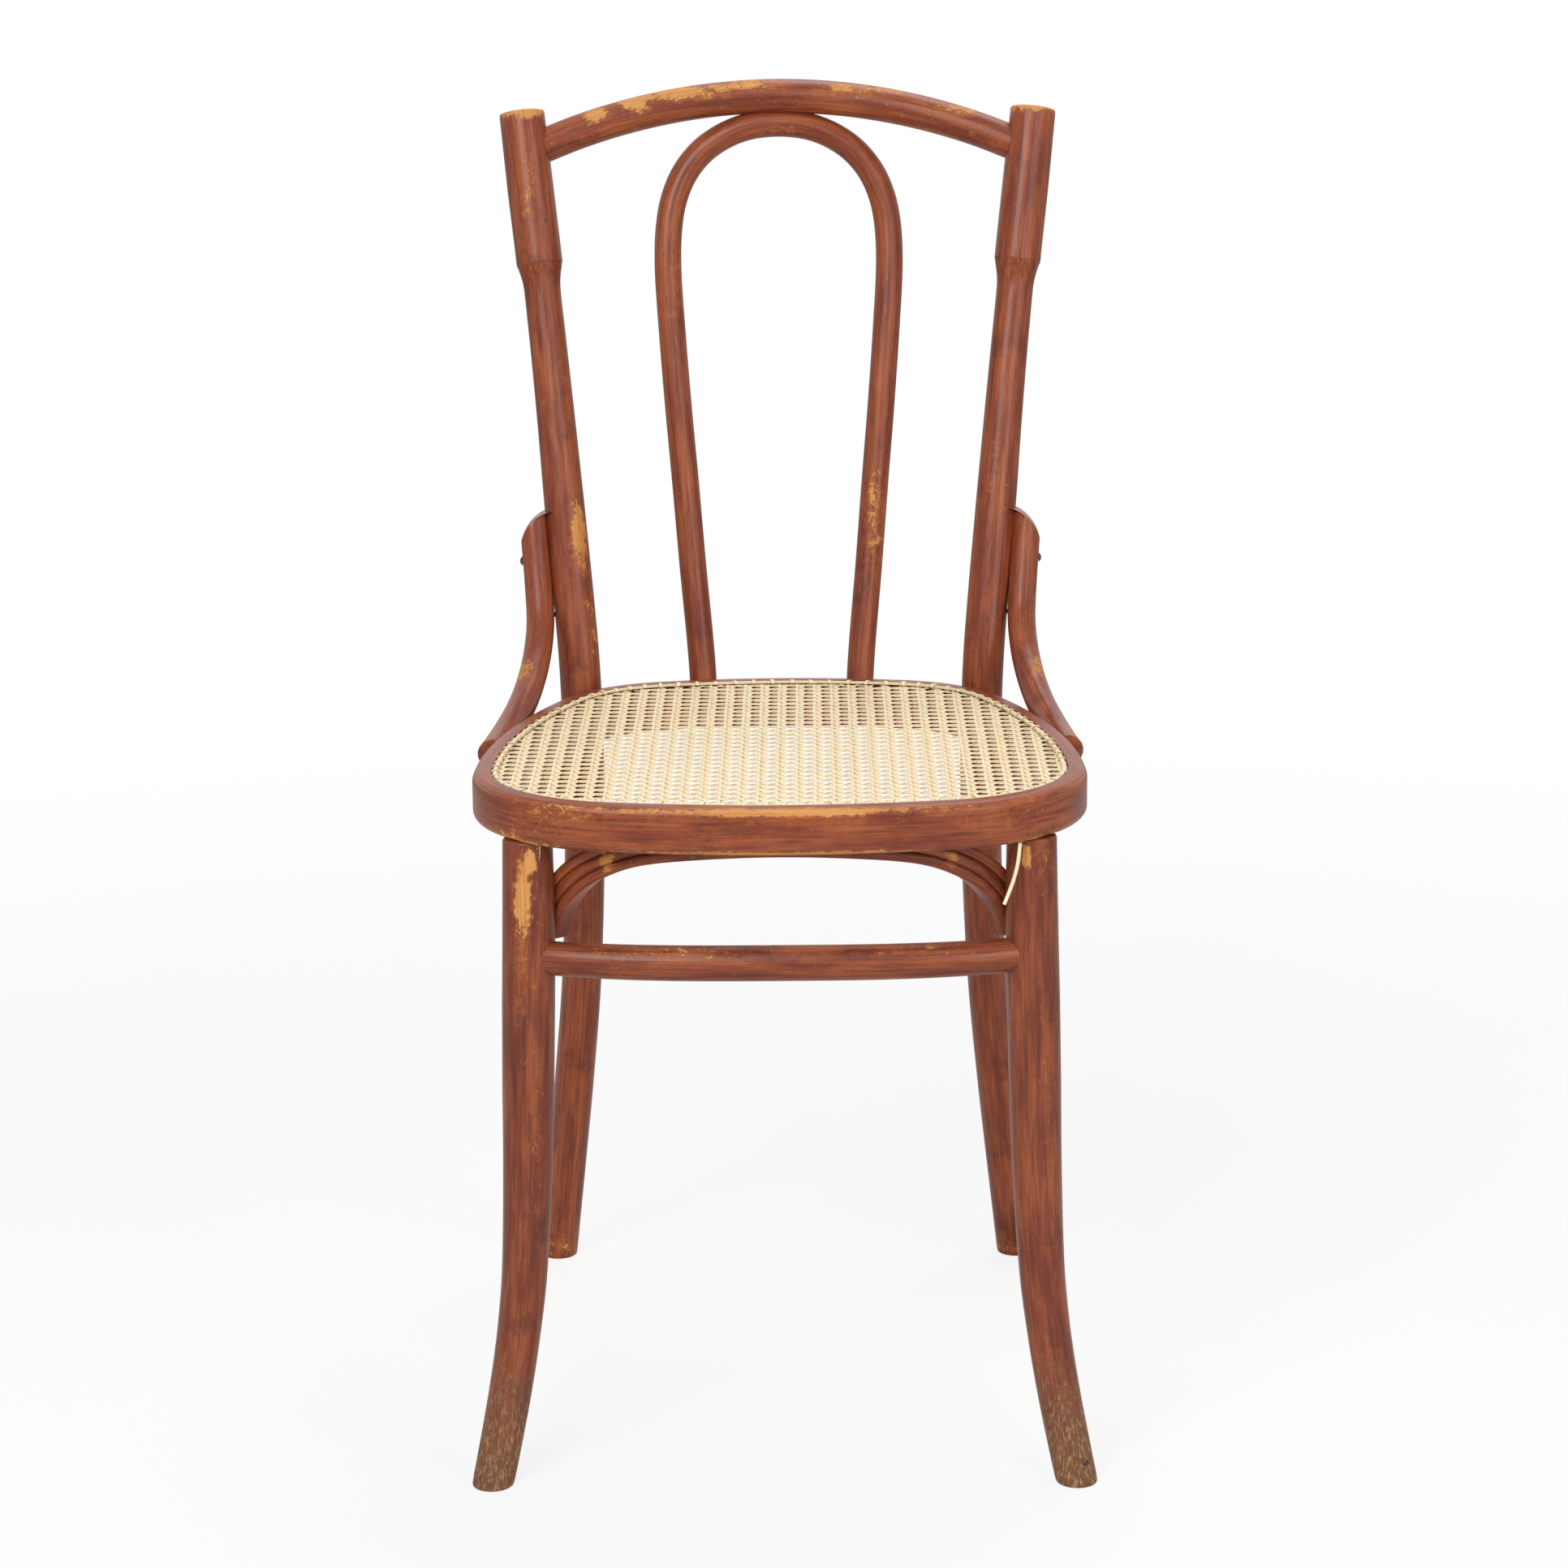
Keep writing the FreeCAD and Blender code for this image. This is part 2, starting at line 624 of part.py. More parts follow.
def hex_nut(centre, direction):
    """Hexagonal nut around the bolt, its near face on the centre point."""
    corner_radius = NUT_FLATS / math.sqrt(3)
    axis = FreeCAD.Vector(direction).normalize()
    corners = []
    for index in range(7):
        angle = math.radians(60 * index)
        corners.append(FreeCAD.Vector(corner_radius * math.cos(angle), corner_radius * math.sin(angle), 0))
    prism = Part.Face(Part.makePolygon(corners)).extrude(FreeCAD.Vector(0, 0, NUT_THICKNESS))
    prism.Placement = section_placement(centre, axis, FreeCAD.Vector(0, 0, 1))
    bore = Part.makeCylinder(POST_BOLT_DIAMETER / 2, NUT_THICKNESS, centre, axis)
    return prism.cut(bore)


# Round members and the ring, before their joints are cut
ring = seat_prism(0, RING_BOTTOM, SEAT_TOP).cut(seat_prism(RING_WIDTH, RING_BOTTOM - 1, SEAT_TOP + 1))
outer_edges = []
inner_edges = []
for edge in ring.Edges:
    box = edge.BoundBox
    if box.ZLength < 0.01:
        middle = edge.valueAt((edge.FirstParameter + edge.LastParameter) / 2)
        inside = seat_prism(RING_WIDTH - 5, RING_BOTTOM - 5, SEAT_TOP + 5).isInside(middle, 0.01, True)
        (inner_edges if inside else outer_edges).append(edge)
ring = ring.makeFillet(RING_EDGE_RADIUS, outer_edges)
lower_inner = []
for edge in ring.Edges:
    box = edge.BoundBox
    middle = edge.valueAt((edge.FirstParameter + edge.LastParameter) / 2)
    inside = seat_prism(RING_WIDTH - 5, RING_BOTTOM - 5, SEAT_TOP + 5).isInside(middle, 0.01, True)
    if inside and box.ZLength < 0.01 and abs(box.ZMin - RING_BOTTOM) < 0.01:
        lower_inner.append(edge)
ring = ring.makeFillet(RING_INNER_EDGE_RADIUS, lower_inner)
ring = ring.cut(seat_prism(REBATE_INSET, REBATE_FLOOR, SEAT_TOP + 5))

post = make_post()
leg, leg_tenon = make_front_leg()
crest = make_crest()
crest_tenon = make_crest_tenon()
hoop = make_hoop()
stretcher, stretcher_tenon = make_stretcher()
front_arch = make_front_arch()
side_arch = make_side_arch()
brace = make_brace()

# Fasteners that pass through the ring, whose places the lacing holes avoid
ring_outside = seat_prism(0, RING_BOTTOM, SEAT_TOP)
post_at_ring = post_axis_point(POST_BOLT_HEIGHT)
bolt_inward = FreeCAD.Vector(BACK_CORNER.x - post_at_ring.x, BACK_CORNER.y - post_at_ring.y, 0).normalize()
bolt_head_seat = surface_hit(post, post_at_ring - bolt_inward * 40, bolt_inward, 60)
inner_wall_point = BACK_CORNER - bolt_inward * (BACK_CORNER_RADIUS - RING_WIDTH)
inner_wall_point = FreeCAD.Vector(inner_wall_point.x, inner_wall_point.y, POST_BOLT_HEIGHT)
bolt_length = (inner_wall_point - bolt_head_seat).Length + WASHER_THICKNESS + NUT_THICKNESS + 3.0
post_bolt = domed_screw(bolt_head_seat, bolt_inward, bolt_length, POST_BOLT_DIAMETER,
                        POST_BOLT_HEAD_DIAMETER, POST_BOLT_HEAD_RISE)
washer = Part.makeCylinder(WASHER_DIAMETER / 2, WASHER_THICKNESS, inner_wall_point, bolt_inward)
washer = washer.cut(Part.makeCylinder(POST_BOLT_DIAMETER / 2, WASHER_THICKNESS, inner_wall_point, bolt_inward))
washer = washer.cut(ring)
nut = hex_nut(inner_wall_point + bolt_inward * WASHER_THICKNESS, bolt_inward)

hoop_foot = point_at(HOOP_OUTLINE[0][0] + 0.6, hoop_setback(447), 447)
hoop_screw_seat = surface_hit(hoop, hoop_foot + FreeCAD.Vector(0, 40, 0), FreeCAD.Vector(0, -1, 0), 60)
hoop_screw = domed_screw(hoop_screw_seat, FreeCAD.Vector(0, -1, 0), 30, SCREW_SHANK_DIAMETER,
                         SCREW_HEAD_DIAMETER, SCREW_HEAD_RISE)

# Lacing of the cane: loops that pass down one hole of the ring and up the next
keep_clear = [FreeCAD.Vector(leg_tenon.CenterOfMass.x, leg_tenon.CenterOfMass.y, 0)]
clear_radius = [LEG_TENON_DIAMETER / 2 + LACING_CLEARANCE + 6.5]
bolt_crossing = BACK_CORNER - bolt_inward * (BACK_CORNER_RADIUS - LACING_INSET)
keep_clear.append(FreeCAD.Vector(bolt_crossing.x, bolt_crossing.y, 0))
clear_radius.append(POST_BOLT_DIAMETER / 2 + LACING_CLEARANCE)
keep_clear.append(FreeCAD.Vector(hoop_foot.x, BACK_Y - LACING_INSET, 0))
clear_radius.append(SCREW_SHANK_DIAMETER / 2 + LACING_CLEARANCE)
brace_screw_y = FRONT_Y + BRACE_SEAT_SCREW_SETBACK
keep_clear.append(FreeCAD.Vector(SIDE_CENTRE.x + SIDE_ARC_RADIUS - LACING_INSET - 7, brace_screw_y, 0))
clear_radius.append(SCREW_SHANK_DIAMETER / 2 + LACING_CLEARANCE + 6)


def lacing_hole_is_free(point):
    flat = FreeCAD.Vector(abs(point.x), point.y, 0)
    for centre, radius in zip(keep_clear, clear_radius):
        if (flat - centre).Length < radius:
            return False
    return True


lacing_points = [point for point, outward in outline_points(LACING_INSET, 0, LACING_COUNT)]
lacing_loops = []
for first, second in zip(lacing_points[0::2], lacing_points[1::2]):
    if not (lacing_hole_is_free(first) and lacing_hole_is_free(second)):
        continue
    strands = []
    for point in (first, second):
        base = FreeCAD.Vector(point.x, point.y, RING_BOTTOM - LACING_RUN_THICKNESS)
        strands.append(Part.makeCylinder(LACING_DIAMETER / 2, REBATE_FLOOR - base.z, base))
    along = FreeCAD.Vector(second - first)
    run = Part.makeBox(along.Length, LACING_RUN_WIDTH, LACING_RUN_THICKNESS)
    turn = math.degrees(math.atan2(along.y, along.x))
    run.Placement = FreeCAD.Placement(
        FreeCAD.Vector(first.x, first.y, RING_BOTTOM - LACING_RUN_THICKNESS),
        FreeCAD.Rotation(FreeCAD.Vector(0, 0, 1), turn))
    aside = FreeCAD.Vector(along.y, -along.x, 0).normalize() * (LACING_RUN_WIDTH / 2)
    run.translate(aside)
    lacing_loops.append(strands[0].fuse([strands[1], run]).removeSplitter())
lacing = Part.makeCompound(lacing_loops)

# Cane panel with its octagonal openings, and the binder over its edge
panel = seat_prism(REBATE_INSET, REBATE_FLOOR, CANE_TOP)
hole_limit = seat_prism(RING_WIDTH + CANE_HOLE_MARGIN / 3, 0, 1)
holes = []
rows = int(SEAT_DEPTH / CANE_PITCH / 2) + 1
columns = int(SEAT_HALF_WIDTH / CANE_PITCH) + 1
middle_y = (FRONT_Y + BACK_Y) / 2
for row in range(-rows, rows + 1):
    for column in range(-columns, columns + 1):
        x = (column + 0.5) * CANE_PITCH
        y = middle_y + (row + 0.5) * CANE_PITCH
        if hole_limit.isInside(FreeCAD.Vector(x, y, 0.5), 0.01, True):
            holes.append(Part.makeCylinder(CANE_HOLE_DIAMETER / 2, CANE_THICKNESS,
                                           FreeCAD.Vector(x, y, REBATE_FLOOR)))
panel = panel.cut(Part.makeCompound(holes))
binder = seat_prism(REBATE_INSET, CANE_TOP, CANE_TOP + BINDER_THICKNESS)
binder = binder.cut(seat_prism(REBATE_INSET + BINDER_WIDTH, CANE_TOP - 1, CANE_TOP + BINDER_THICKNESS + 1))

# Joints of the back: the crest rail's tenons, the hoop against the rail and the ring
crest_pair = [crest_tenon, on_side(crest_tenon, -1)]
post_pair = [post, on_side(post, -1)]
crest = crest.cut(post_pair[0]).cut(post_pair[1])
crest = max(crest.Solids, key=lambda solid: solid.Volume)
crest = crest.fuse(crest_pair).removeSplitter()
post = post.cut(crest_tenon)
crest = crest.cut(hoop)
hoop = hoop.cut(ring_outside)
hoop_crest_dowel = Part.makeCylinder(HOOP_DOWEL_DIAMETER / 2, HOOP_DOWEL_LENGTH,
                                     point_at(0, hoop_setback(HOOP_DOWEL_START), HOOP_DOWEL_START))
crest = crest.cut(hoop_crest_dowel)
hoop = hoop.cut(hoop_crest_dowel)

# Joints at the seat's back corners
post = post.cut(ring_outside)
post = post.cut(post_bolt)
ring = ring.cut([post_bolt, on_side(post_bolt, -1)])
hoop = hoop.cut([hoop_screw, on_side(hoop_screw, -1)])
ring = ring.cut([hoop_screw, on_side(hoop_screw, -1)])

# Front legs, their tenons and the pegs that lock them
leg_whole = leg.fuse(leg_tenon).removeSplitter()
ring = ring.cut([leg_tenon, on_side(leg_tenon, -1)])
peg_start = point_at(PEG_HALF_SPACING, PEG_SETBACK, PEG_HEIGHT)
peg_axis = FreeCAD.Vector(0, math.sin(math.radians(PEG_TILT)), math.cos(math.radians(PEG_TILT)))
peg = straight_rod(peg_start - peg_axis * 14, peg_start + peg_axis * (PEG_LENGTH - 14), PEG_DIAMETER)
peg = peg.common(leg_whole.fuse(ring))
peg = max(peg.Solids, key=lambda solid: solid.Volume)
leg_whole = leg_whole.cut(peg)
ring = ring.cut([peg, on_side(peg, -1)])

# Stretcher tenons and the pins through them
stretcher = stretcher.cut(leg_whole).cut(on_side(leg_whole, -1))
stretcher = max(stretcher.Solids, key=lambda solid: solid.Volume)
stretcher = stretcher.fuse([stretcher_tenon, on_side(stretcher_tenon, -1)]).removeSplitter()
leg_whole = leg_whole.cut(stretcher_tenon)
pin_target = leg_axis_point(STRETCHER_HEIGHT) + FreeCAD.Vector(-7, 0, 0)
pin_seat = surface_hit(leg_whole, pin_target + FreeCAD.Vector(0, 40, 0), FreeCAD.Vector(0, -1, 0), 60)
stretcher_pin = domed_screw(pin_seat, FreeCAD.Vector(0, -1, 0), 18, PIN_DIAMETER, PIN_HEAD_DIAMETER, 1.0)
leg_whole = leg_whole.cut(stretcher_pin)
stretcher = stretcher.cut([stretcher_pin, on_side(stretcher_pin, -1)])

# Pins through the post heads into the crest rail's tenons
crest_pin_target = crest_point(174)
crest_pin_seat = surface_hit(post, crest_pin_target + FreeCAD.Vector(0, 40, 0), FreeCAD.Vector(0, -1, 0), 60)
crest_pin = domed_screw(crest_pin_seat, FreeCAD.Vector(0, -1, 0), 20, PIN_DIAMETER, PIN_HEAD_DIAMETER, 1.0)
post = post.cut(crest_pin)
crest = crest.cut([crest_pin, on_side(crest_pin, -1)])

# Front arch: let against the ring's inner wall and the legs
front_arch = front_arch.cut(ring).cut(leg_whole).cut(on_side(leg_whole, -1))
front_arch = front_arch.common(seat_prism(-20, 0, FRONT_ARCH_TOP))
front_arch = max(front_arch.Solids, key=lambda solid: solid.Volume)
arch_seat_screws = []
for x in (-FRONT_ARCH_SCREW_SPACING, 0.0, FRONT_ARCH_SCREW_SPACING):
    behind_arch = FreeCAD.Vector(x, FRONT_Y + RING_WIDTH + 60, FRONT_ARCH_SCREW_HEIGHT)
    seat = surface_hit(front_arch, behind_arch, FreeCAD.Vector(0, -1, 0), 90)
    arch_seat_screws.append(flat_screw(seat, FreeCAD.Vector(0, -1, 0), ARCH_DEPTH + 9))
arch_leg_centre = leg_axis_point(ARCH_LEG_SCREW_HEIGHT)
arch_leg_direction = FreeCAD.Vector(0.72, -0.69, 0).normalize()
arch_leg_start = arch_leg_centre - arch_leg_direction * 60
arch_leg_seat = surface_hit(front_arch, arch_leg_start, arch_leg_direction, 60)
arch_leg_screw = flat_screw(arch_leg_seat, arch_leg_direction, ARCH_LEG_SCREW_DEPTH)
for screw in arch_seat_screws:
    front_arch = front_arch.cut(screw)
    ring = ring.cut(screw)
front_arch = front_arch.cut([arch_leg_screw, on_side(arch_leg_screw, -1)])
leg_whole = leg_whole.cut(arch_leg_screw)

# Side arches: flat under the ring, let against the front and back legs
side_arch = side_arch.common(seat_prism(-40, 0, RING_BOTTOM)).cut(leg_whole).cut(post).cut(front_arch)
side_arch = side_arch.cut(lacing)
side_arch = max(side_arch.Solids, key=lambda solid: solid.Volume)
side_seat_screws = []
for x, setback in SIDE_ARCH_SEAT_SCREWS:
    seat = surface_hit(side_arch, point_at(x, setback, 380), FreeCAD.Vector(0, 0, 1), 60)
    side_seat_screws.append(flat_screw(seat, FreeCAD.Vector(0, 0, 1), ARCH_WIDTH + 14))
front_end_target = leg_axis_point(SIDE_ARCH_SCREW_HEIGHT)
behind_front_end = front_end_target + FreeCAD.Vector(0, 70, 0)
side_front_seat = surface_hit(side_arch, behind_front_end, FreeCAD.Vector(0, -1, 0), 70)
side_front_screw = flat_screw(side_front_seat, FreeCAD.Vector(0, -1, 0), 28)
back_end_target = post_axis_point(SIDE_ARCH_SCREW_HEIGHT)
side_back_direction = FreeCAD.Vector(-14.8, 14.5, 0).normalize()
side_back_seat = surface_hit(side_arch, back_end_target - side_back_direction * 60, side_back_direction, 60)
side_back_screw = flat_screw(side_back_seat, side_back_direction, 28)
for screw in side_seat_screws:
    side_arch = side_arch.cut(screw)
    ring = ring.cut([screw, on_side(screw, -1)])
side_arch = side_arch.cut([side_front_screw, side_back_screw])
leg_whole = leg_whole.cut(side_front_screw)
post = post.cut(side_back_screw)

# Hip braces: cut flat against the ring and the post, and screwed to both
brace = brace.cut(ring_outside).cut(post)
brace = max(brace.Solids, key=lambda solid: solid.Volume)
brace_post_screws = []
for height in BRACE_SCREW_HEIGHTS:
    target = post_axis_point(height)
    seat = surface_hit(brace, target + FreeCAD.Vector(60, -3, 0), FreeCAD.Vector(-1, 0.05, 0), 60)
    brace_post_screws.append(domed_screw(seat, FreeCAD.Vector(-1, 0.05, 0), 34, SCREW_SHANK_DIAMETER,
                                         SCREW_HEAD_DIAMETER, SCREW_HEAD_RISE))
foot_target = point_at(180, BRACE_SEAT_SCREW_SETBACK, BRACE_SEAT_SCREW_HEIGHT)
foot_seat = surface_hit(brace, foot_target + FreeCAD.Vector(60, 0, 0), FreeCAD.Vector(-1, 0, 0), 60)
brace_seat_screw = domed_screw(foot_seat, FreeCAD.Vector(-1, 0, 0), 24, SCREW_SHANK_DIAMETER,
                               SCREW_HEAD_DIAMETER, SCREW_HEAD_RISE)
brace = brace.cut(brace_post_screws + [brace_seat_screw])
post = post.cut(brace_post_screws)
ring = ring.cut([brace_seat_screw, on_side(brace_seat_screw, -1)])

# Lacing holes through the ring
ring = ring.cut(lacing)

# Nail in the right front foot
foot_axis = leg_axis_point(NAIL_HEIGHT)
nail_out = FreeCAD.Vector(math.cos(math.radians(NAIL_ANGLE)), math.sin(math.radians(NAIL_ANGLE)), 0)
nail_seat = surface_hit(leg_whole, foot_axis + nail_out * 40, nail_out * -1, 60)
nail = domed_screw(nail_seat, nail_out * -1, NAIL_LENGTH, NAIL_DIAMETER, NAIL_HEAD_DIAMETER, 0.9)

save("seat_ring", ring)
save("cane_panel", panel)
save("cane_binder", binder)
save("cane_lacing", lacing)
save("loose_cane_end", make_loose_end())
save("crest_rail", crest)
save("back_hoop", hoop)
save("front_stretcher", stretcher)
save("front_arch", front_arch)
for side, sign in SIDES:
    save(side + "_back_post", on_side(post, sign))
    save(side + "_side_arch", on_side(side_arch, sign))
    save(side + "_hip_brace", on_side(brace, sign))
    leg_of_side = on_side(leg_whole, sign)
    if side == "right":
        leg_of_side = leg_of_side.cut(nail)
    save(side + "_front_leg", leg_of_side)
both = {
    "post_bolts": [post_bolt],
    "post_bolt_washers": [washer],
    "post_bolt_nuts": [nut],
    "hoop_foot_screws": [hoop_screw],
    "hip_brace_post_screws": brace_post_screws,
    "hip_brace_seat_screws": [brace_seat_screw],
    "front_arch_leg_screws": [arch_leg_screw],
    "side_arch_seat_screws": side_seat_screws,
    "side_arch_leg_screws": [side_front_screw, side_back_screw],
    "leg_lock_pegs": [peg],
    "crest_rail_pins": [crest_pin],
    "front_stretcher_pins": [stretcher_pin],
}
for name, shapes in both.items():
    pair = []
    for side, sign in SIDES:
        for shape in shapes:
            pair.append(on_side(shape, sign))
    save(name, *pair)
save("hoop_crest_dowel", hoop_crest_dowel)
save("front_arch_seat_screws", *arch_seat_screws)
save("foot_nail", nail)
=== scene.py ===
"""Looks of an old bentwood bistro chair with a hand-caned seat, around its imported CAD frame.

Everything is in metres in the row's frame: the floor is z = 0, +X is to the right seen from the front,
and the front of the seat faces -Y. Places along the depth are setbacks, measured backwards from the
front edge of the seat, as in the CAD source.
"""

from __future__ import annotations

import json
import logging
import math
import random
from collections.abc import Callable, Iterable, Sequence
from dataclasses import dataclass, field
from enum import Enum

import bmesh
import bpy
from mathutils import Matrix, Vector

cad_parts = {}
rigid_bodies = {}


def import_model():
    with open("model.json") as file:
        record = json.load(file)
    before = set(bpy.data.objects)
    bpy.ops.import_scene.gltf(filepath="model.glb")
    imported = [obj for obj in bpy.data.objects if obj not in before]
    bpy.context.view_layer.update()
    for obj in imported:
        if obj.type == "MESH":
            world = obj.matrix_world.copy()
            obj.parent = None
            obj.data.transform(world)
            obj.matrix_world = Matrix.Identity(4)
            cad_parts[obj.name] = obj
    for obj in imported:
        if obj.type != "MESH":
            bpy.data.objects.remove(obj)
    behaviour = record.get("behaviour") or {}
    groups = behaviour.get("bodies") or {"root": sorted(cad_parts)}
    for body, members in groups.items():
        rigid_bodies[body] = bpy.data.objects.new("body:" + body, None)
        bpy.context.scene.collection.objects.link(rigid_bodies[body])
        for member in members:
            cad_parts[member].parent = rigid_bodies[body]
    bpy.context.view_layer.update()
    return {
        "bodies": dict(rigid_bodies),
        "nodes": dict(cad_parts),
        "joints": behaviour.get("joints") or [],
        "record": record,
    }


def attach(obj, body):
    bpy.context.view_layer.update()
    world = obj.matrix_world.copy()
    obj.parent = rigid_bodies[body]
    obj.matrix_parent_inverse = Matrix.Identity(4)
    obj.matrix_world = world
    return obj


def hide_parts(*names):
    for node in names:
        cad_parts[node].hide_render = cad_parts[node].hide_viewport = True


LOG = logging.getLogger("bistro_chair")
SEED = 7
MM = 0.001
FRONT_Y = -0.25835
SMOOTH_BELOW = math.radians(38)
TOLERANCE = 1e-9
MERGE_DISTANCE = 1e-6
MOST_WALL_CORNERS = 8


Station = tuple[float, float, float, float]


class Slot(Enum):
    """Material slots of the record, which nothing here uses."""

    BEECH = "stained_beech"
    CANE = "cane"


class Side(Enum):
    """Sides of the chair seen from the front, as the sign of X."""

    LEFT = -1
    RIGHT = 1


def at(x: float, setback: float, height: float) -> Vector:
    """Place a point given in millimetres as side, setback and height."""
    return Vector((x * MM, FRONT_Y + setback * MM, height * MM))


# Shader graphs


@dataclass(frozen=True)
class Pattern:
    """Smooth noise: bumps per metre, octaves, their strength and how its vector is squeezed."""

    scale: float
    detail: float = 3.0
    roughness: float = 0.5
    squeeze: tuple[float, float, float] | None = None


class Signal:
    """One output of a shader graph, with arithmetic that adds Math nodes."""

    def __init__(self, graph: Graph, socket: bpy.types.NodeSocket) -> None:
        """Keep the graph and the socket."""
        self.graph = graph
        self.socket = socket

    def _join(self, operation: str, first: Signal | float, second: Signal | float) -> Signal:
        """Add a Math node of the named operation."""
        return self.graph.add("ShaderNodeMath", {"operation": operation}, {0: first, 1: second})

    def __add__(self, other: Signal | float) -> Signal:
        """Sum."""
        return self._join("ADD", self, other)

    __radd__ = __add__

    def __mul__(self, other: Signal | float) -> Signal:
        """Product."""
        return self._join("MULTIPLY", self, other)

    def __sub__(self, other: Signal | float) -> Signal:
        """Difference."""
        return self._join("SUBTRACT", self, other)

    def __rsub__(self, other: float) -> Signal:
        """Difference from a number."""
        return self._join("SUBTRACT", other, self)

    def ramp(self, low: float, high: float, bottom: float = 0.0, top: float = 1.0) -> Signal:
        """Spread the values from low to high smoothly over a new range.

        Args:
            low: value that gives the bottom.
            high: value that gives the top.
            bottom: lowest result.
            top: highest result.

        Returns:
            The spread value, clamped.
        """
        settings = {"interpolation_type": "SMOOTHSTEP", "clamp": True}
        return self.graph.add("ShaderNodeMapRange", settings, {0: self, 1: low, 2: high, 3: bottom, 4: top})


class Graph:
    """A material's node tree and the calls that fill it."""

    def __init__(self, name: str) -> None:
        """Make an empty material with a Principled shader."""
        self.material = bpy.data.materials.new(name)
        self.material.use_nodes = True
        self.tree = self.material.node_tree
        self.tree.nodes.clear()
        self.shader = self.tree.nodes.new("ShaderNodeBsdfPrincipled")
        output = self.tree.nodes.new("ShaderNodeOutputMaterial")
        self.tree.links.new(self.shader.outputs[0], output.inputs["Surface"])

    def add(
        self,
        kind: str,
        settings: dict[str, object] | None = None,
        values: dict[int | str, object] | None = None,
        result: int | str = 0,
    ) -> Signal:
        """Add any node.

        Args:
            kind: Blender's type of the node.
            settings: its own settings, set before its sockets.
            values: numbers, colours or signals for its sockets.
            result: the output that is wanted.

        Returns:
            The wanted output.
        """
        node = self.tree.nodes.new(kind)
        for key, value in (settings or {}).items():
            setattr(node, key, value)
        for key, value in (values or {}).items():
            self.plug(node.inputs[key], value)
        return Signal(self, node.outputs[result])

    def plug(self, socket: bpy.types.NodeSocket, value: object) -> None:
        """Link a signal to a socket, or set the socket's own value."""
        if isinstance(value, Signal):
            self.tree.links.new(value.socket, socket)
        else:
            socket.default_value = value

    def attribute(self, name: str, result: str = "Vector") -> Signal:
        """Read a mesh attribute."""
        settings = {"attribute_type": "GEOMETRY", "attribute_name": name}
        return self.add("ShaderNodeAttribute", settings, result=result)

    def place(self) -> Signal:
        """Read the point on the object."""
        return self.add("ShaderNodeTexCoord", result="Object")

    def stretched(self, vector: Signal, scale: tuple[float, float, float]) -> Signal:
        """Scale a vector along its three directions."""
        return self.add("ShaderNodeVectorMath", {"operation": "MULTIPLY"}, {0: vector, 1: scale})

    def noise(self, vector: Signal, pattern: Pattern) -> Signal:
        """Add smooth noise.

        Args:
            vector: where it is read.
            pattern: its scale and its octaves.

        Returns:
            The noise, from 0 to 1.
        """
        values = {"Scale": pattern.scale, "Detail": pattern.detail, "Roughness": pattern.roughness}
        values["Vector"] = self.stretched(vector, pattern.squeeze) if pattern.squeeze else vector
        return self.add("ShaderNodeTexNoise", {"noise_dimensions": "3D"}, values)

    def mix(self, share: Signal | float, first: object, second: object) -> Signal:
        """Blend two colours."""
        values = {0: share, 6: first, 7: second}
        return self.add("ShaderNodeMix", {"data_type": "RGBA", "clamp_factor": True}, values, 2)

    def bump(self, height: Signal, depth: float, strength: float = 1.0) -> Signal:
        """Turn a height into a normal.

        Args:
            height: the height, from 0 to 1.
            depth: what 1 means, in metres.
            strength: share of the effect.

        Returns:
            The normal.
        """
        values = {"Strength": strength, "Distance": depth, "Height": height}
        return self.add("ShaderNodeBump", {}, values, "Normal")

    def finish(self, **sockets: object) -> bpy.types.Material:
        """Fill the shader's sockets, named with underscores, and return the material."""
        for key, value in sockets.items():
            self.plug(self.shader.inputs[key.replace("_", " ").title().replace("Ior", "IOR")], value)
        return self.material


Colour = tuple[float, float, float, float]
WHITE: Colour = (1.0, 1.0, 1.0, 1.0)


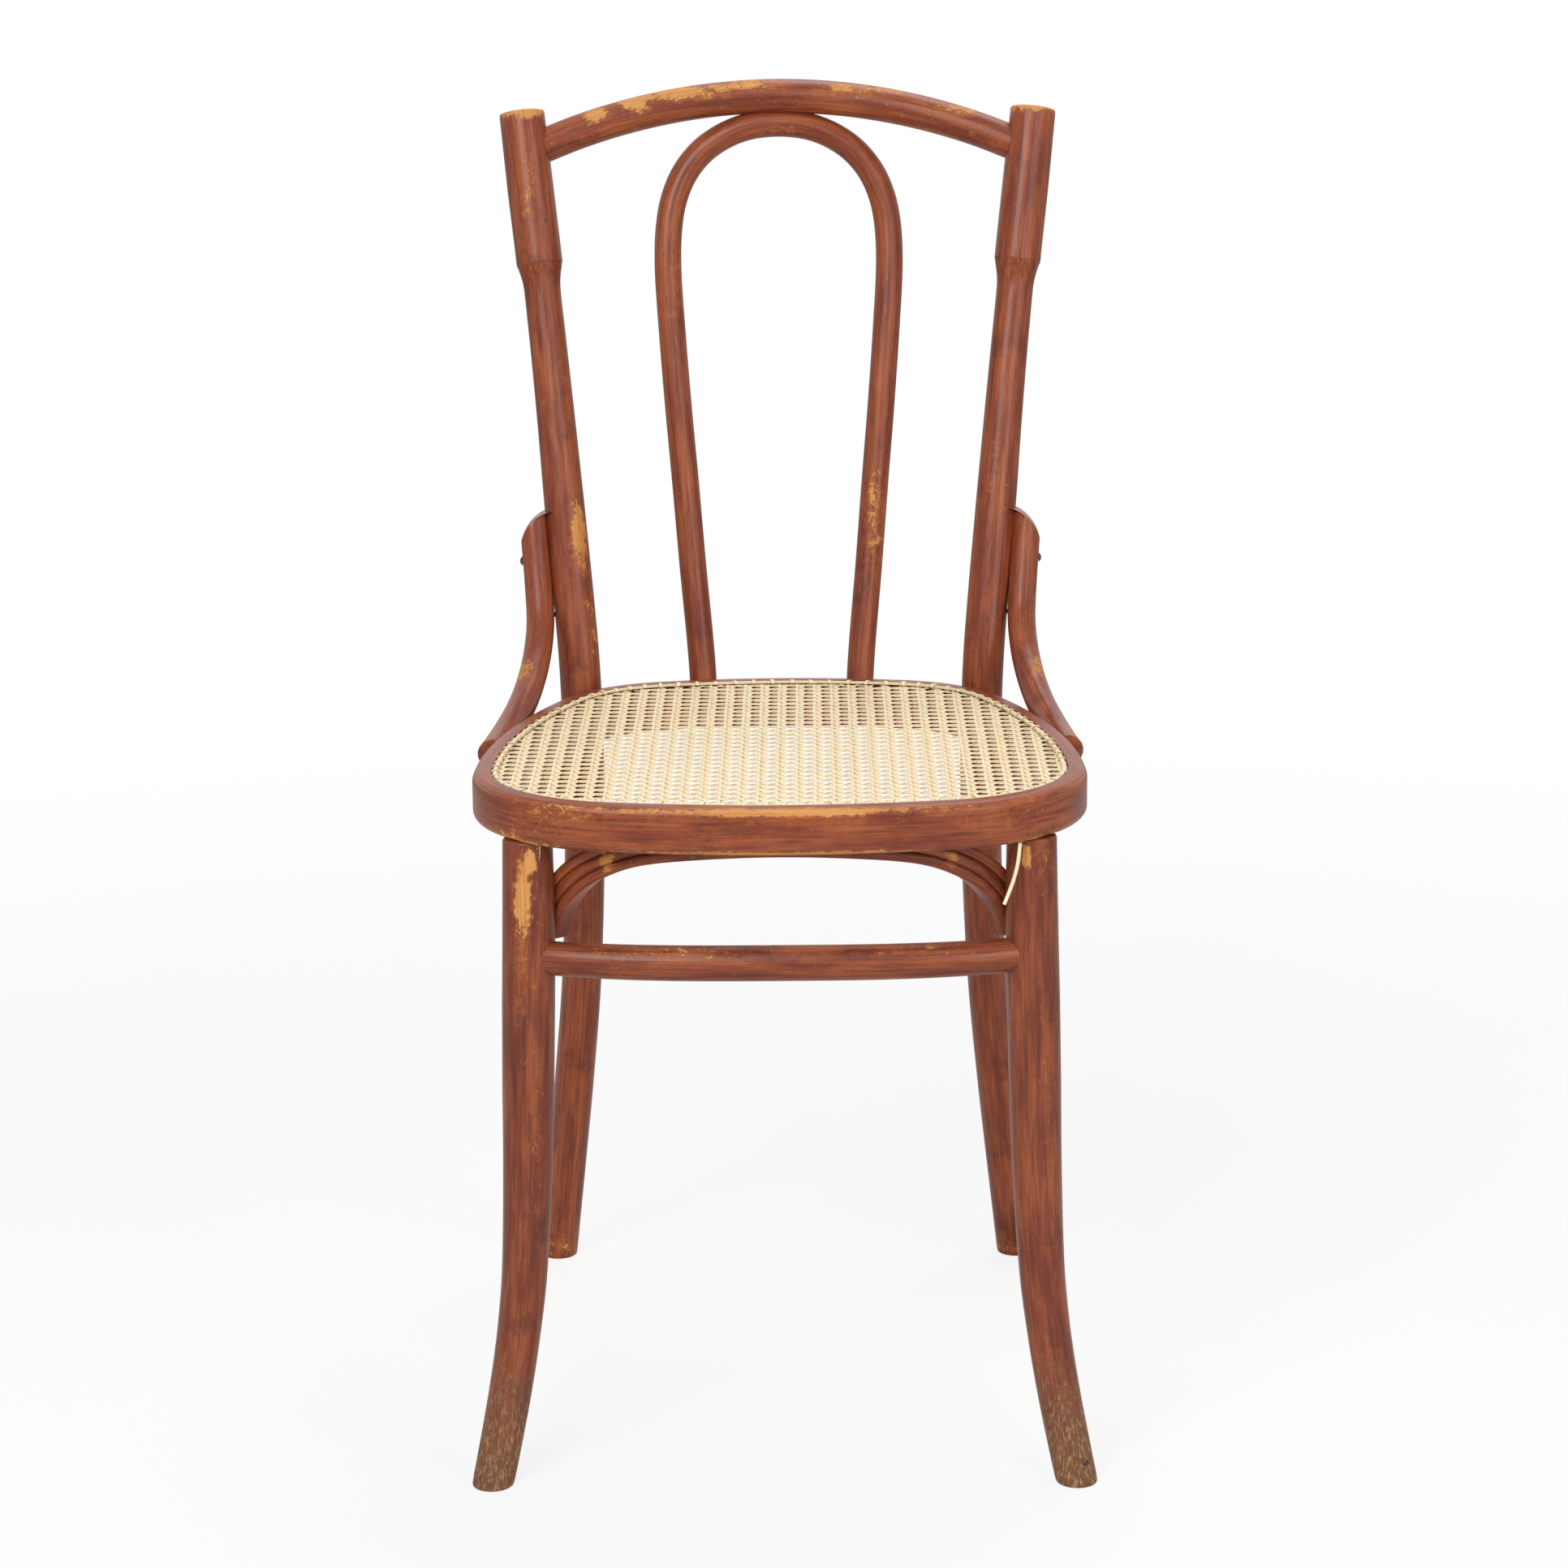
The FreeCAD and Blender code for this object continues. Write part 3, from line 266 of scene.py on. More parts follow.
@dataclass(frozen=True)
class LacquerFinish:
    """Old red-brown lacquer over beech, chipped to the bare wood where the wear attribute says so."""

    name: str = "worn_red_brown_lacquer"
    shade: Colour = (0.062, 0.016, 0.011, 1.0)
    body: Colour = (0.195, 0.038, 0.017, 1.0)
    warm: Colour = (0.360, 0.092, 0.030, 1.0)
    amber: Colour = (0.440, 0.150, 0.038, 1.0)
    bare: Colour = (0.610, 0.300, 0.092, 1.0)
    grime: Colour = (0.155, 0.072, 0.036, 1.0)
    scratch: Colour = (0.440, 0.260, 0.125, 1.0)
    coat: float = 0.13
    coat_roughness: float = 0.16
    specular: float = 0.20
    scuffing: float = 0.0
    scuffed_below: float = 0.105
    cloud_pattern: Pattern = Pattern(110.0, 4.0, 0.62, (1.0, 1.0, 0.16))
    stain_pattern: Pattern = Pattern(26.0, 6.0, 0.68)
    line_pattern: Pattern = Pattern(900.0, 4.0, 0.66, (1.0, 1.0, 0.02))
    band_pattern: Pattern = Pattern(420.0, 4.0, 0.62, (1.0, 1.0, 0.035))
    chip_pattern: Pattern = Pattern(120.0, 8.0, 0.72)
    fleck_pattern: Pattern = Pattern(560.0, 3.0, 0.62, (1.0, 1.0, 0.42))
    scratch_pattern: Pattern = Pattern(640.0, 5.0, 0.72, (1.0, 1.0, 0.22))
    thin_range: tuple[float, float] = (0.26, 0.56)
    rim_range: tuple[float, float] = (0.42, 0.50)
    gone_range: tuple[float, float] = (0.52, 0.62)
    fleck_range: tuple[float, float] = (0.670, 0.725)
    relief_depth: float = 0.00035
    wear_share: float = 0.90
    chip_share: float = 1.55
    fleck_share: float = 0.75
    line_share: float = 0.70
    roughness: float = 0.38

    def make(self) -> bpy.types.Material:
        """Build the material.

        Returns:
            A lacquered wood whose grain follows the grain attribute.
        """
        g = Graph(self.name)
        grain = g.attribute("grain")
        wear = g.attribute("wear", "Fac")
        place = g.place()
        height = g.add("ShaderNodeSeparateXYZ", {}, {0: place}, 2)
        clouds = g.noise(grain, self.cloud_pattern)
        stains = g.noise(place, self.stain_pattern)
        lines = g.noise(grain, self.line_pattern)
        bands = g.noise(grain, self.band_pattern)
        chips = g.noise(place, self.chip_pattern)
        flecks = g.noise(grain, self.fleck_pattern)
        scratches = g.noise(place, self.scratch_pattern)

        colour = g.mix(clouds.ramp(0.32, 0.70), self.body, self.warm)
        colour = g.mix(bands.ramp(0.46, 0.68) * 0.42, colour, self.shade)
        colour = g.mix(lines.ramp(0.48, 0.62) * 0.48, colour, self.shade)
        colour = g.mix(stains.ramp(0.54, 0.70) * 0.55, colour, self.shade)
        score = wear * self.wear_share + (chips - 0.5) * self.chip_share
        score = score + (flecks - 0.5) * self.fleck_share + (lines - 0.5) * self.line_share
        thin = score.ramp(*self.thin_range)
        gone = score.ramp(*self.gone_range)
        rim = score.ramp(*self.rim_range) - gone
        amber = g.mix(bands.ramp(0.40, 0.62), self.amber, self.warm)
        bare = g.mix(lines.ramp(0.42, 0.62) * 0.7 + stains.ramp(0.55, 0.62) * 0.3, self.bare, self.amber)
        colour = g.mix(thin * 0.72, colour, amber)
        colour = g.mix(rim * stains.ramp(0.42, 0.56) * 0.6, colour, self.shade)
        colour = g.mix(gone, colour, bare)
        colour = g.mix(flecks.ramp(*self.fleck_range) * 0.75, colour, self.amber)
        scuffed = (height * -1.0 + (chips - 0.5) * 0.16).ramp(-self.scuffed_below, -0.01) * self.scuffing
        colour = g.mix(scuffed * 0.80, colour, self.grime)
        colour = g.mix(scuffed * scratches.ramp(0.48, 0.64) * 0.80, colour, self.scratch)
        rough = self.roughness + thin * 0.08 + gone * 0.16 + scuffed * 0.20 + (clouds - 0.5) * 0.18
        relief = lines * 0.35 + bands * 0.25 - gone * 0.5 + stains * 0.4 + scuffed * scratches * 0.5
        return g.finish(
            base_color=colour,
            roughness=rough,
            coat_weight=(self.coat - gone * self.coat) * (1.0 - scuffed * 0.8),
            coat_roughness=self.coat_roughness,
            specular_ior_level=self.specular,
            normal=g.bump(relief, self.relief_depth, 0.5),
        )


@dataclass(frozen=True)
class CaneFinish:
    """Glossy outer skin of rattan cane, each strand a little different, with painted shade along each
    strand's edges.
    """

    name: str = "straw_cane"
    pale: Colour = (0.920, 0.800, 0.550, 1.0)
    straw: Colour = (0.810, 0.630, 0.360, 1.0)
    # brown is the dirt colour, and also the painted shade along each strand's edges.
    brown: Colour = (0.400, 0.240, 0.100, 1.0)
    fibre_pattern: Pattern = Pattern(2200.0, 3.0, 0.6, (1.0, 1.0, 0.03))
    stretch_pattern: Pattern = Pattern(55.0, 2.0, 0.5, (0.2, 0.2, 1.0))
    dirt_pattern: Pattern = Pattern(130.0, 3.0, 0.6)
    painted_edge_shade_range: tuple[float, float] = (0.30, 1.15)
    relief_depth: float = 0.00012
    roughness: float = 0.42
    specular: float = 0.4

    def make(self) -> bpy.types.Material:
        """Build the material.

        Returns:
            A satin straw-coloured cane whose fibres run along the grain attribute.
        """
        g = Graph(self.name)
        grain = g.attribute("grain")
        strand = g.attribute("strand", "Fac")
        fibres = g.noise(grain, self.fibre_pattern)
        stretch = g.noise(grain, self.stretch_pattern)
        dirt = g.noise(g.place(), self.dirt_pattern)
        across = g.add("ShaderNodeSeparateXYZ", {}, {0: grain}, 0)
        # Painted shade: each strand darkens towards its edges, where the shadow between strands would fall.
        edge = (across * across * MM**-2).ramp(*self.painted_edge_shade_range)
        colour = g.mix(strand * 0.6 + (stretch - 0.5) * 0.9, self.pale, self.straw)
        colour = g.mix(edge * 0.45, colour, self.brown)
        colour = g.mix(fibres.ramp(0.50, 0.72) * 0.3, colour, self.straw)
        colour = g.mix(dirt.ramp(0.62, 0.80) * 0.3, colour, self.brown)
        return g.finish(
            base_color=colour,
            roughness=self.roughness + fibres * 0.15,
            specular_ior_level=self.specular,
            normal=g.bump(fibres, self.relief_depth, 0.5),
        )


@dataclass(frozen=True)
class SteelFinish:
    """Dark oxidised steel of screws, bolts and pins."""

    name: str = "dark_oxidised_steel"
    dark: Colour = (0.045, 0.036, 0.032, 1.0)
    light: Colour = (0.170, 0.140, 0.120, 1.0)
    spot_pattern: Pattern = Pattern(700.0, 4.0, 0.6)
    spot_range: tuple[float, float] = (0.42, 0.68)
    metallic: float = 0.85
    roughness: float = 0.38
    relief_depth: float = 0.0001

    def make(self) -> bpy.types.Material:
        """Build the material.

        Returns:
            A dull dark metal with rubbed high spots.
        """
        g = Graph(self.name)
        spots = g.noise(g.place(), self.spot_pattern)
        colour = g.mix(spots.ramp(*self.spot_range), self.dark, self.light)
        return g.finish(
            base_color=colour,
            metallic=self.metallic,
            roughness=self.roughness + spots * 0.25,
            normal=g.bump(spots, self.relief_depth, 0.4),
        )


@dataclass(frozen=True)
class PegFinish:
    """Bare pale wood of the locking pegs and of the dowel hidden under the crest rail."""

    name: str = "bare_peg_wood"
    pale: Colour = (0.620, 0.420, 0.200, 1.0)
    brown: Colour = (0.330, 0.170, 0.070, 1.0)
    fibre_pattern: Pattern = Pattern(1600.0, 4.0, 0.6, (1.0, 1.0, 0.1))
    fibre_range: tuple[float, float] = (0.40, 0.70)
    roughness: float = 0.62
    relief_depth: float = 0.0001

    def make(self) -> bpy.types.Material:
        """Build the material.

        Returns:
            A matt bare wood with end grain.
        """
        g = Graph(self.name)
        fibres = g.noise(g.place(), self.fibre_pattern)
        colour = g.mix(fibres.ramp(*self.fibre_range), self.pale, self.brown)
        normal = g.bump(fibres, self.relief_depth, 0.5)
        return g.finish(base_color=colour, roughness=self.roughness, normal=normal)


# Mesh making


@dataclass
class Frame:
    """One place of a profile on its way along a member."""

    origin: Vector
    across: Vector
    up: Vector
    along: float
    scale: float = 1.0

    def matrix(self) -> Matrix:
        """Matrix that lays the flat profile at this place."""
        tangent = self.across.cross(self.up)
        columns = (self.across * self.scale, self.up * self.scale, tangent, self.origin)
        return Matrix([[column[row] for column in columns] for row in range(3)] + [[0, 0, 0, 1]])


@dataclass(frozen=True)
class WearSpot:
    """An ellipsoid of wear on a member, in millimetres: side, setback, height, three radii and strength."""

    x: float
    setback: float
    height: float
    radii: tuple[float, float, float]
    strength: float = 1.0

    def on_side(self, side: Side) -> WearSpot:
        """Return this spot, given at +X, on a side of the chair."""
        return WearSpot(side.value * self.x, self.setback, self.height, self.radii, self.strength)

    def at_point(self, point: Vector) -> float:
        """Return the wear at a point in metres."""
        offset = point - at(self.x, self.setback, self.height)
        distance = math.sqrt(sum((offset[i] / (self.radii[i] * MM)) ** 2 for i in range(3)))
        return self.strength * max(0.0, 1.0 - distance)


def smooth_line(points: Sequence[Sequence[float]], step: float) -> list[list[float]]:
    """Follow a curve through points, of which the first three numbers are the place.

    The numbers after the place, such as a diameter, change evenly from point to point.

    Args:
        points: the points, each with the same count of numbers.
        step: wanted distance between two results, in metres.

    Returns:
        Points along a curve that passes through all of them.
    """
    places = [Vector(point[:3]) for point in points]
    knots = [0.0]
    for first, second in zip(places, places[1:]):
        knots.append(knots[-1] + (second - first).length)
    count = len(points)
    slopes = []
    for index in range(count):
        before, after = max(index - 1, 0), min(index + 1, count - 1)
        width = knots[after] - knots[before]
        slopes.append([(b - a) / width for a, b in zip(points[before], points[after])])
    made = []
    for index in range(count - 1):
        width = knots[index + 1] - knots[index]
        pieces = max(1, round(width / step))
        for piece in range(pieces):
            t = piece / pieces
            weights = (
                2 * t**3 - 3 * t**2 + 1,
                (t**3 - 2 * t**2 + t) * width,
                3 * t**2 - 2 * t**3,
                (t**3 - t**2) * width,
            )
            sources = (points[index], slopes[index], points[index + 1], slopes[index + 1])
            row = [sum(w * s[axis] for w, s in zip(weights, sources)) for axis in range(3)]
            row += [a + (b - a) * t for a, b in zip(points[index][3:], points[index + 1][3:])]
            made.append(row)
    made.append(list(points[-1]))
    return made


def rod_frames(points: Sequence[Sequence[float]], reference: Vector, foot: bool = False) -> list[Frame]:
    """Turn points with a diameter into frames that twist as little as possible.

    Args:
        points: x, y, z and diameter, in metres.
        reference: direction near which the first frame's X lies.
        foot: whether the first frame lies flat on the floor.

    Returns:
        One frame for each point.
    """
    places = [Vector(point[:3]) for point in points]
    frames: list[Frame] = []
    across = reference
    along = 0.0
    for index, place in enumerate(places):
        ahead = places[min(index + 1, len(places) - 1)]
        behind = places[max(index - 1, 0)]
        tangent = (ahead - behind).normalized()
        if foot and index == 0:
            tangent = Vector((0, 0, 1))
        across = (across - tangent * across.dot(tangent)).normalized()
        if index:
            along += (place - places[index - 1]).length
        frames.append(Frame(place, across, tangent.cross(across), along, points[index][3]))
    return frames


def circle_profile(count: int) -> list[Vector]:
    """Points of a circle of diameter 1."""
    turn = 2 * math.pi / count
    return [Vector((0.5 * math.cos(i * turn), 0.5 * math.sin(i * turn), 0)) for i in range(count)]


def sweep(profile: Sequence[Vector], frames: Sequence[Frame], closed: bool = False) -> bmesh.types.BMesh:
    """Extrude a closed profile from frame to frame.

    Args:
        profile: the profile's points, anticlockwise seen against the way of travel.
        frames: where it goes.
        closed: whether the last frame joins the first.

    Returns:
        A closed mesh that keeps each vertex's place in the straight piece of wood as its grain.
    """
    bm = bmesh.new()
    grain = bm.verts.layers.float_vector.new("grain")
    bm.verts.layers.float.new("wear")
    row = [bm.verts.new(point) for point in profile]
    edges = [bm.edges.new(pair) for pair in zip(row, row[1:] + row[:1])]
    first_edges = list(edges)
    placed = Matrix.Identity(4)
    for index, frame in enumerate(frames):
        matrix = frame.matrix()
        if index:
            extruded = bmesh.ops.extrude_edge_only(bm, edges=edges)["geom"]
            row = [item for item in extruded if isinstance(item, bmesh.types.BMVert)]
            edges = [item for item in extruded if isinstance(item, bmesh.types.BMEdge) and item.is_boundary]
        bmesh.ops.transform(bm, matrix=matrix @ placed.inverted(), verts=row)
        placed = matrix
        for vert in row:
            local = matrix.inverted() @ vert.co
            vert[grain] = (local.x * frame.scale, local.y * frame.scale, frame.along)
    if closed:
        bmesh.ops.bridge_loops(bm, edges=first_edges + edges)
    else:
        for ends in (first_edges, edges):
            bmesh.ops.contextual_create(bm, geom=ends)
    bmesh.ops.recalc_face_normals(bm, faces=bm.faces)
    return bm


def strand_profile(half: float, bottom: float, shoulder: float, top: float, crown: float) -> list[Vector]:
    """Section of a strand of cane, flat below and crowned above.

    Args:
        half: half its width.
        bottom: height of its flat side.
        shoulder: height where its sides end.
        top: height of its crown.
        crown: width of the crown, as a share of the whole width.

    Returns:
        The section's points.
    """
    outline = ((1, bottom), (1, shoulder), (crown, top), (-crown, top), (-1, shoulder), (-1, bottom))
    return [Vector((half * share, height, 0)) for share, height in outline]


def set_tone(bm: bmesh.types.BMesh, tone: float) -> None:
    """Write one tone of cane on a whole mesh."""
    layer = bm.verts.layers.float.new("strand")
    for vert in bm.verts:
        vert[layer] = tone


def soften_ends(bm: bmesh.types.BMesh, radius: float, segments: int = 3) -> None:
    """Round the edges around the flat ends of a swept member."""
    caps = [face for face in bm.faces if len(face.verts) > MOST_WALL_CORNERS]
    edges = {edge for face in caps for edge in face.edges}
    bmesh.ops.bevel(
        bm,
        geom=list(edges),
        offset=radius,
        offset_type="OFFSET",
        affect="EDGES",
        segments=segments,
        profile=0.5,
        material=-1,
    )


def age(
    bm: bmesh.types.BMesh,
    spots: Iterable[WearSpot],
    extra: Callable[[Vector, Vector], float] | None,
) -> None:
    """Write the wear attribute.

    Args:
        bm: the mesh.
        spots: worn places.
        extra: further wear from a vertex's place and its grain, such as along an arris.
    """
    grain = bm.verts.layers.float_vector["grain"]
    wear = bm.verts.layers.float["wear"]
    for vert in bm.verts:
        total = sum(spot.at_point(vert.co) for spot in spots)
        if extra:
            total += extra(vert.co, vert[grain])
        vert[wear] = min(1.0, total)


def make_piece(
    name: str,
    bm: bmesh.types.BMesh,
    material: bpy.types.Material | None,
    replaces: Sequence[str] = (),
) -> bpy.types.Object:
    """Turn a mesh into a piece of the chair.

    Args:
        name: the piece's name.
        bm: its mesh, which is freed.
        material: its finish, or None where it is given later.
        replaces: the CAD nodes that it stands for.

    Returns:
        The object, riding on the chair's body.
    """
    mesh = bpy.data.meshes.new(name)
    bm.to_mesh(mesh)
    bm.free()
    if material:
        mesh.materials.append(material)
    mesh.shade_smooth()
    mesh.set_sharp_from_angle(angle=SMOOTH_BELOW)
    piece = bpy.data.objects.new(name, mesh)
    bpy.context.scene.collection.objects.link(piece)
    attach(piece, "root")
    if replaces:
        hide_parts(*replaces)
    LOG.info("%s: %d faces", name, len(mesh.polygons))
    return piece


# The seat's outline


@dataclass
class SeatOutline:
    """Five tangent arcs on each side, in metres, with y measured as a setback."""

    depth: float = 0.4105
    half_width: float = 0.203
    widest: float = 0.120
    front_radius: float = 0.550
    front_corner_radius: float = 0.110
    side_radius: float = 0.560
    back_corner_radius: float = 0.095
    back_radius: float = 0.400

    def __post_init__(self) -> None:
        """Find the arcs' centres and the angles between which they run on the right side."""
        front = Vector((0.0, self.front_radius))
        side = Vector((self.half_width - self.side_radius, self.widest))
        back = Vector((0.0, self.depth - self.back_radius))
        front_corner = self._between(
            front, self.front_radius, side, self.side_radius, self.front_corner_radius
        )
        back_corner = self._between(side, self.side_radius, back, self.back_radius, self.back_corner_radius)
        turns = [
            -math.pi / 2,
            self._heading(front, front_corner),
            self._heading(side, front_corner),
            self._heading(side, back_corner),
            self._heading(back, back_corner),
            math.pi / 2,
        ]
        centres = [front, front_corner, side, back_corner, back]
        radii = [
            self.front_radius,
            self.front_corner_radius,
            self.side_radius,
            self.back_corner_radius,
            self.back_radius,
        ]
        self.arcs = list(zip(centres, radii, turns, turns[1:]))

    @staticmethod
    def _between(a: Vector, a_radius: float, b: Vector, b_radius: float, radius: float) -> Vector:
        """Centre of the small arc that joins two larger ones inside them, at +X."""
        first, second = a_radius - radius, b_radius - radius
        span = (b - a).length
        along = (first * first - second * second + span * span) / (2 * span)
        aside = math.sqrt(first * first - along * along)
        unit = (b - a).normalized()
        across = Vector((-unit.y, unit.x))
        return max((a + unit * along + across * aside, a + unit * along - across * aside), key=lambda c: c.x)

    @staticmethod
    def _heading(big: Vector, small: Vector) -> float:
        """Angle at which the small arc touches the big one."""
        offset = small - big
        return math.atan2(offset.y, offset.x)

    def points(self, inset: float, step: float) -> list[tuple[Vector, Vector, float]]:
        """Follow the whole outline from the middle of the back, over the left side.

        Args:
            inset: how far inside the seat's edge.
            step: distance between points.

        Returns:
            Each point and its outward direction, flat, and its distance along the seat's edge.
        """
        right: list[tuple[Vector, Vector, float]] = []
        travelled = 0.0
        for centre, radius, start, end in self.arcs:
            length = radius * (end - start)
            count = max(2, round(length / step))
            for index in range(count):
                turn = start + (end - start) * index / count
                outward = Vector((math.cos(turn), math.sin(turn)))
                point = centre + outward * (radius - inset)
                right.append((point, outward, travelled + length * index / count))
            travelled += length
        back = (Vector((0.0, self.depth - inset)), Vector((0.0, 1.0)), travelled)
        left = [(Vector((-p.x, p.y)), Vector((-o.x, o.y)), travelled - s) for p, o, s in reversed(right[1:])]
        around = [(p, o, travelled + s) for p, o, s in right]
        return [(Vector((0.0, back[0].y)), back[1], 0.0)] + left + around

    def frames(self, inset: float, height: float, step: float) -> list[Frame]:
        """Stand a frame at each point of the inset outline, with X outwards and Y up."""
        made = []
        for point, outward, along in self.points(inset, step):
            origin = Vector((point.x, FRONT_Y + point.y, height))
            made.append(Frame(origin, Vector((outward.x, outward.y, 0)), Vector((0, 0, 1)), along))
        return made

    def half_width_at(self, setback: float, inset: float) -> float:
        """Half the width of the inset outline at a setback, or 0 outside it."""
        for centre, radius, start, end in self.arcs:
            reach = radius - inset
            sine = (setback - centre.y) / reach
            if abs(sine) <= 1:
                turn = math.asin(sine)
                if start - TOLERANCE <= turn <= end + TOLERANCE:
                    return max(0.0, centre.x + reach * math.cos(turn))
        return 0.0

    def holds(self, x: float, setback: float, inset: float) -> bool:
        """Say whether a point lies inside the inset outline."""
        return abs(x) < self.half_width_at(setback, inset)

    def chord(self, origin: Vector, direction: Vector, inset: float) -> tuple[float, float] | None:
        """Cut a line with the inset outline.

        Args:
            origin: a point of the line.
            direction: its unit direction.
            inset: how far inside the seat's edge.

        Returns:
            The two distances from the origin where the line enters and leaves, or None.
        """
        reach = 0.45
        steps = 180
        halvings = 20
        inside = [
            index
            for index in range(-steps, steps + 1)
            if self.holds(*(origin + direction * (reach * index / steps)), inset)
        ]
        if len(inside) < 2:
            return None
        ends = []
        for kept, way in ((inside[0], -1), (inside[-1], 1)):
            low, high = reach * kept / steps, reach * (kept + way) / steps
            for _ in range(halvings):
                middle = (low + high) / 2
                if self.holds(*(origin + direction * middle), inset):
                    low = middle
                else:
                    high = middle
            ends.append(low)
        return ends[0], ends[1]


# Wooden members


def on_side(stations: Iterable[Station], side: Side) -> list[Station]:
    """Put stations that are given at +X on a side of the chair."""
    return [(side.value * x, setback, height, diameter) for x, setback, height, diameter in stations]


@dataclass
class SeatRing:
    """The bent seat ring with its rounded arrises and the rebate that holds the cane."""

    outline: SeatOutline
    top: float = 0.462
    height: float = 0.031
    width: float = 0.029
    edge_radius: float = 0.006
    inner_radius: float = 0.0025
    rebate_inset: float = 0.0125
    rebate_depth: float = 0.0044
    step: float = 0.005
    arris_inset: float = 0.0018
    arris_reach: float = 0.0032
    arris_wear: float = 0.34
    arris_fades_over: float = 0.22
    arris_least: float = 0.25
    spots: tuple[WearSpot, ...] = (
        WearSpot(-150, 15, 456, (90, 40, 9), 0.7),
        WearSpot(-60, 0, 460, (150, 14, 6), 0.75),
        WearSpot(60, 0, 460, (150, 14, 6), 0.75),
        WearSpot(150, 15, 456, (90, 40, 9), 0.55),
        WearSpot(-175, 45, 432, (60, 50, 10), 0.85),
        WearSpot(0, 3, 431, (170, 14, 6), 0.85),
        WearSpot(172, 45, 432, (60, 50, 8), 0.6),
    )

    def profile(self) -> list[Vector]:
        """Section of the ring: X is outwards and 0 at its edge, Y is up and 0 at its top."""
        made = self._corner(0.0, 0.0, self.edge_radius, 0)
        made += [Vector((-self.rebate_inset, 0, 0)), Vector((-self.rebate_inset, -self.rebate_depth, 0))]
        made += [Vector((-self.width, -self.rebate_depth, 0))]
        made += self._corner(-self.width, -self.height, self.inner_radius, 2)
        made += self._corner(0.0, -self.height, self.edge_radius, 3)
        return made

    @staticmethod
    def _corner(x: float, y: float, radius: float, quarter: int, count: int = 6) -> list[Vector]:
        """Points of a rounded corner, anticlockwise from the given quarter."""
        inward_x = -1 if quarter in (0, 3) else 1
        inward_y = -1 if quarter in (0, 1) else 1
        centre = Vector((x + inward_x * radius, y + inward_y * radius, 0))
        made = []
        for index in range(count + 1):
            turn = (quarter + index / count) * math.pi / 2
            made.append(centre + Vector((math.cos(turn), math.sin(turn), 0)) * radius)
        return made

    def build(self, material: bpy.types.Material) -> bpy.types.Object:
        """Make the ring.

        Args:
            material: its lacquer.

        Returns:
            The ring's piece.
        """
        bm = sweep(self.profile(), self.outline.frames(0.0, self.top, self.step), closed=True)
        age(bm, self.spots, self._arris_wear)
        return make_piece("seat_ring_wood", bm, material, ["seat_ring"])

    def _arris_wear(self, place: Vector, grain: Vector) -> float:
        """Wear of the two outer arrises, which fades towards the back."""
        inset = self.arris_inset
        upper = math.hypot(grain[0] + inset, grain[1] + inset)
        lower = math.hypot(grain[0] + inset, grain[1] + self.height - inset)
        near = max(0.0, 1 - min(upper, lower) / self.arris_reach)
        front = max(self.arris_least, 1 - (place.y - FRONT_Y) / self.arris_fades_over)
        return self.arris_wear * near * front


@dataclass
class BentRod:
    """A round bent member, given by stations of x, setback, height and diameter in millimetres."""

    name: str
    node: str
    stations: Sequence[Station]
    reference: Vector
    step: float = 0.005
    around: int = 40
    end_radius: float = 0.0
    spots: Sequence[WearSpot] = ()
    base_wear: float = 0.0
    grain_shift: float = 0.0
    shape: Callable[[Vector], Vector] | None = None

    def build(self, material: bpy.types.Material) -> bpy.types.Object:
        """Make the member.

        Args:
            material: its lacquer.

        Returns:
            The member's piece.
        """
        points = [(*at(x, setback, height), diameter * MM) for x, setback, height, diameter in self.stations]
        frames = rod_frames(smooth_line(points, self.step), self.reference, points[0][2] == 0)
        for frame in frames:
            frame.along += self.grain_shift
        bm = sweep(circle_profile(self.around), frames)
        if self.end_radius:
            soften_ends(bm, self.end_radius)
        if self.shape:
            for vert in bm.verts:
                vert.co = self.shape(vert.co)
        age(bm, self.spots, lambda place, grain: self.base_wear)
        return make_piece(self.name, bm, material, [self.node])


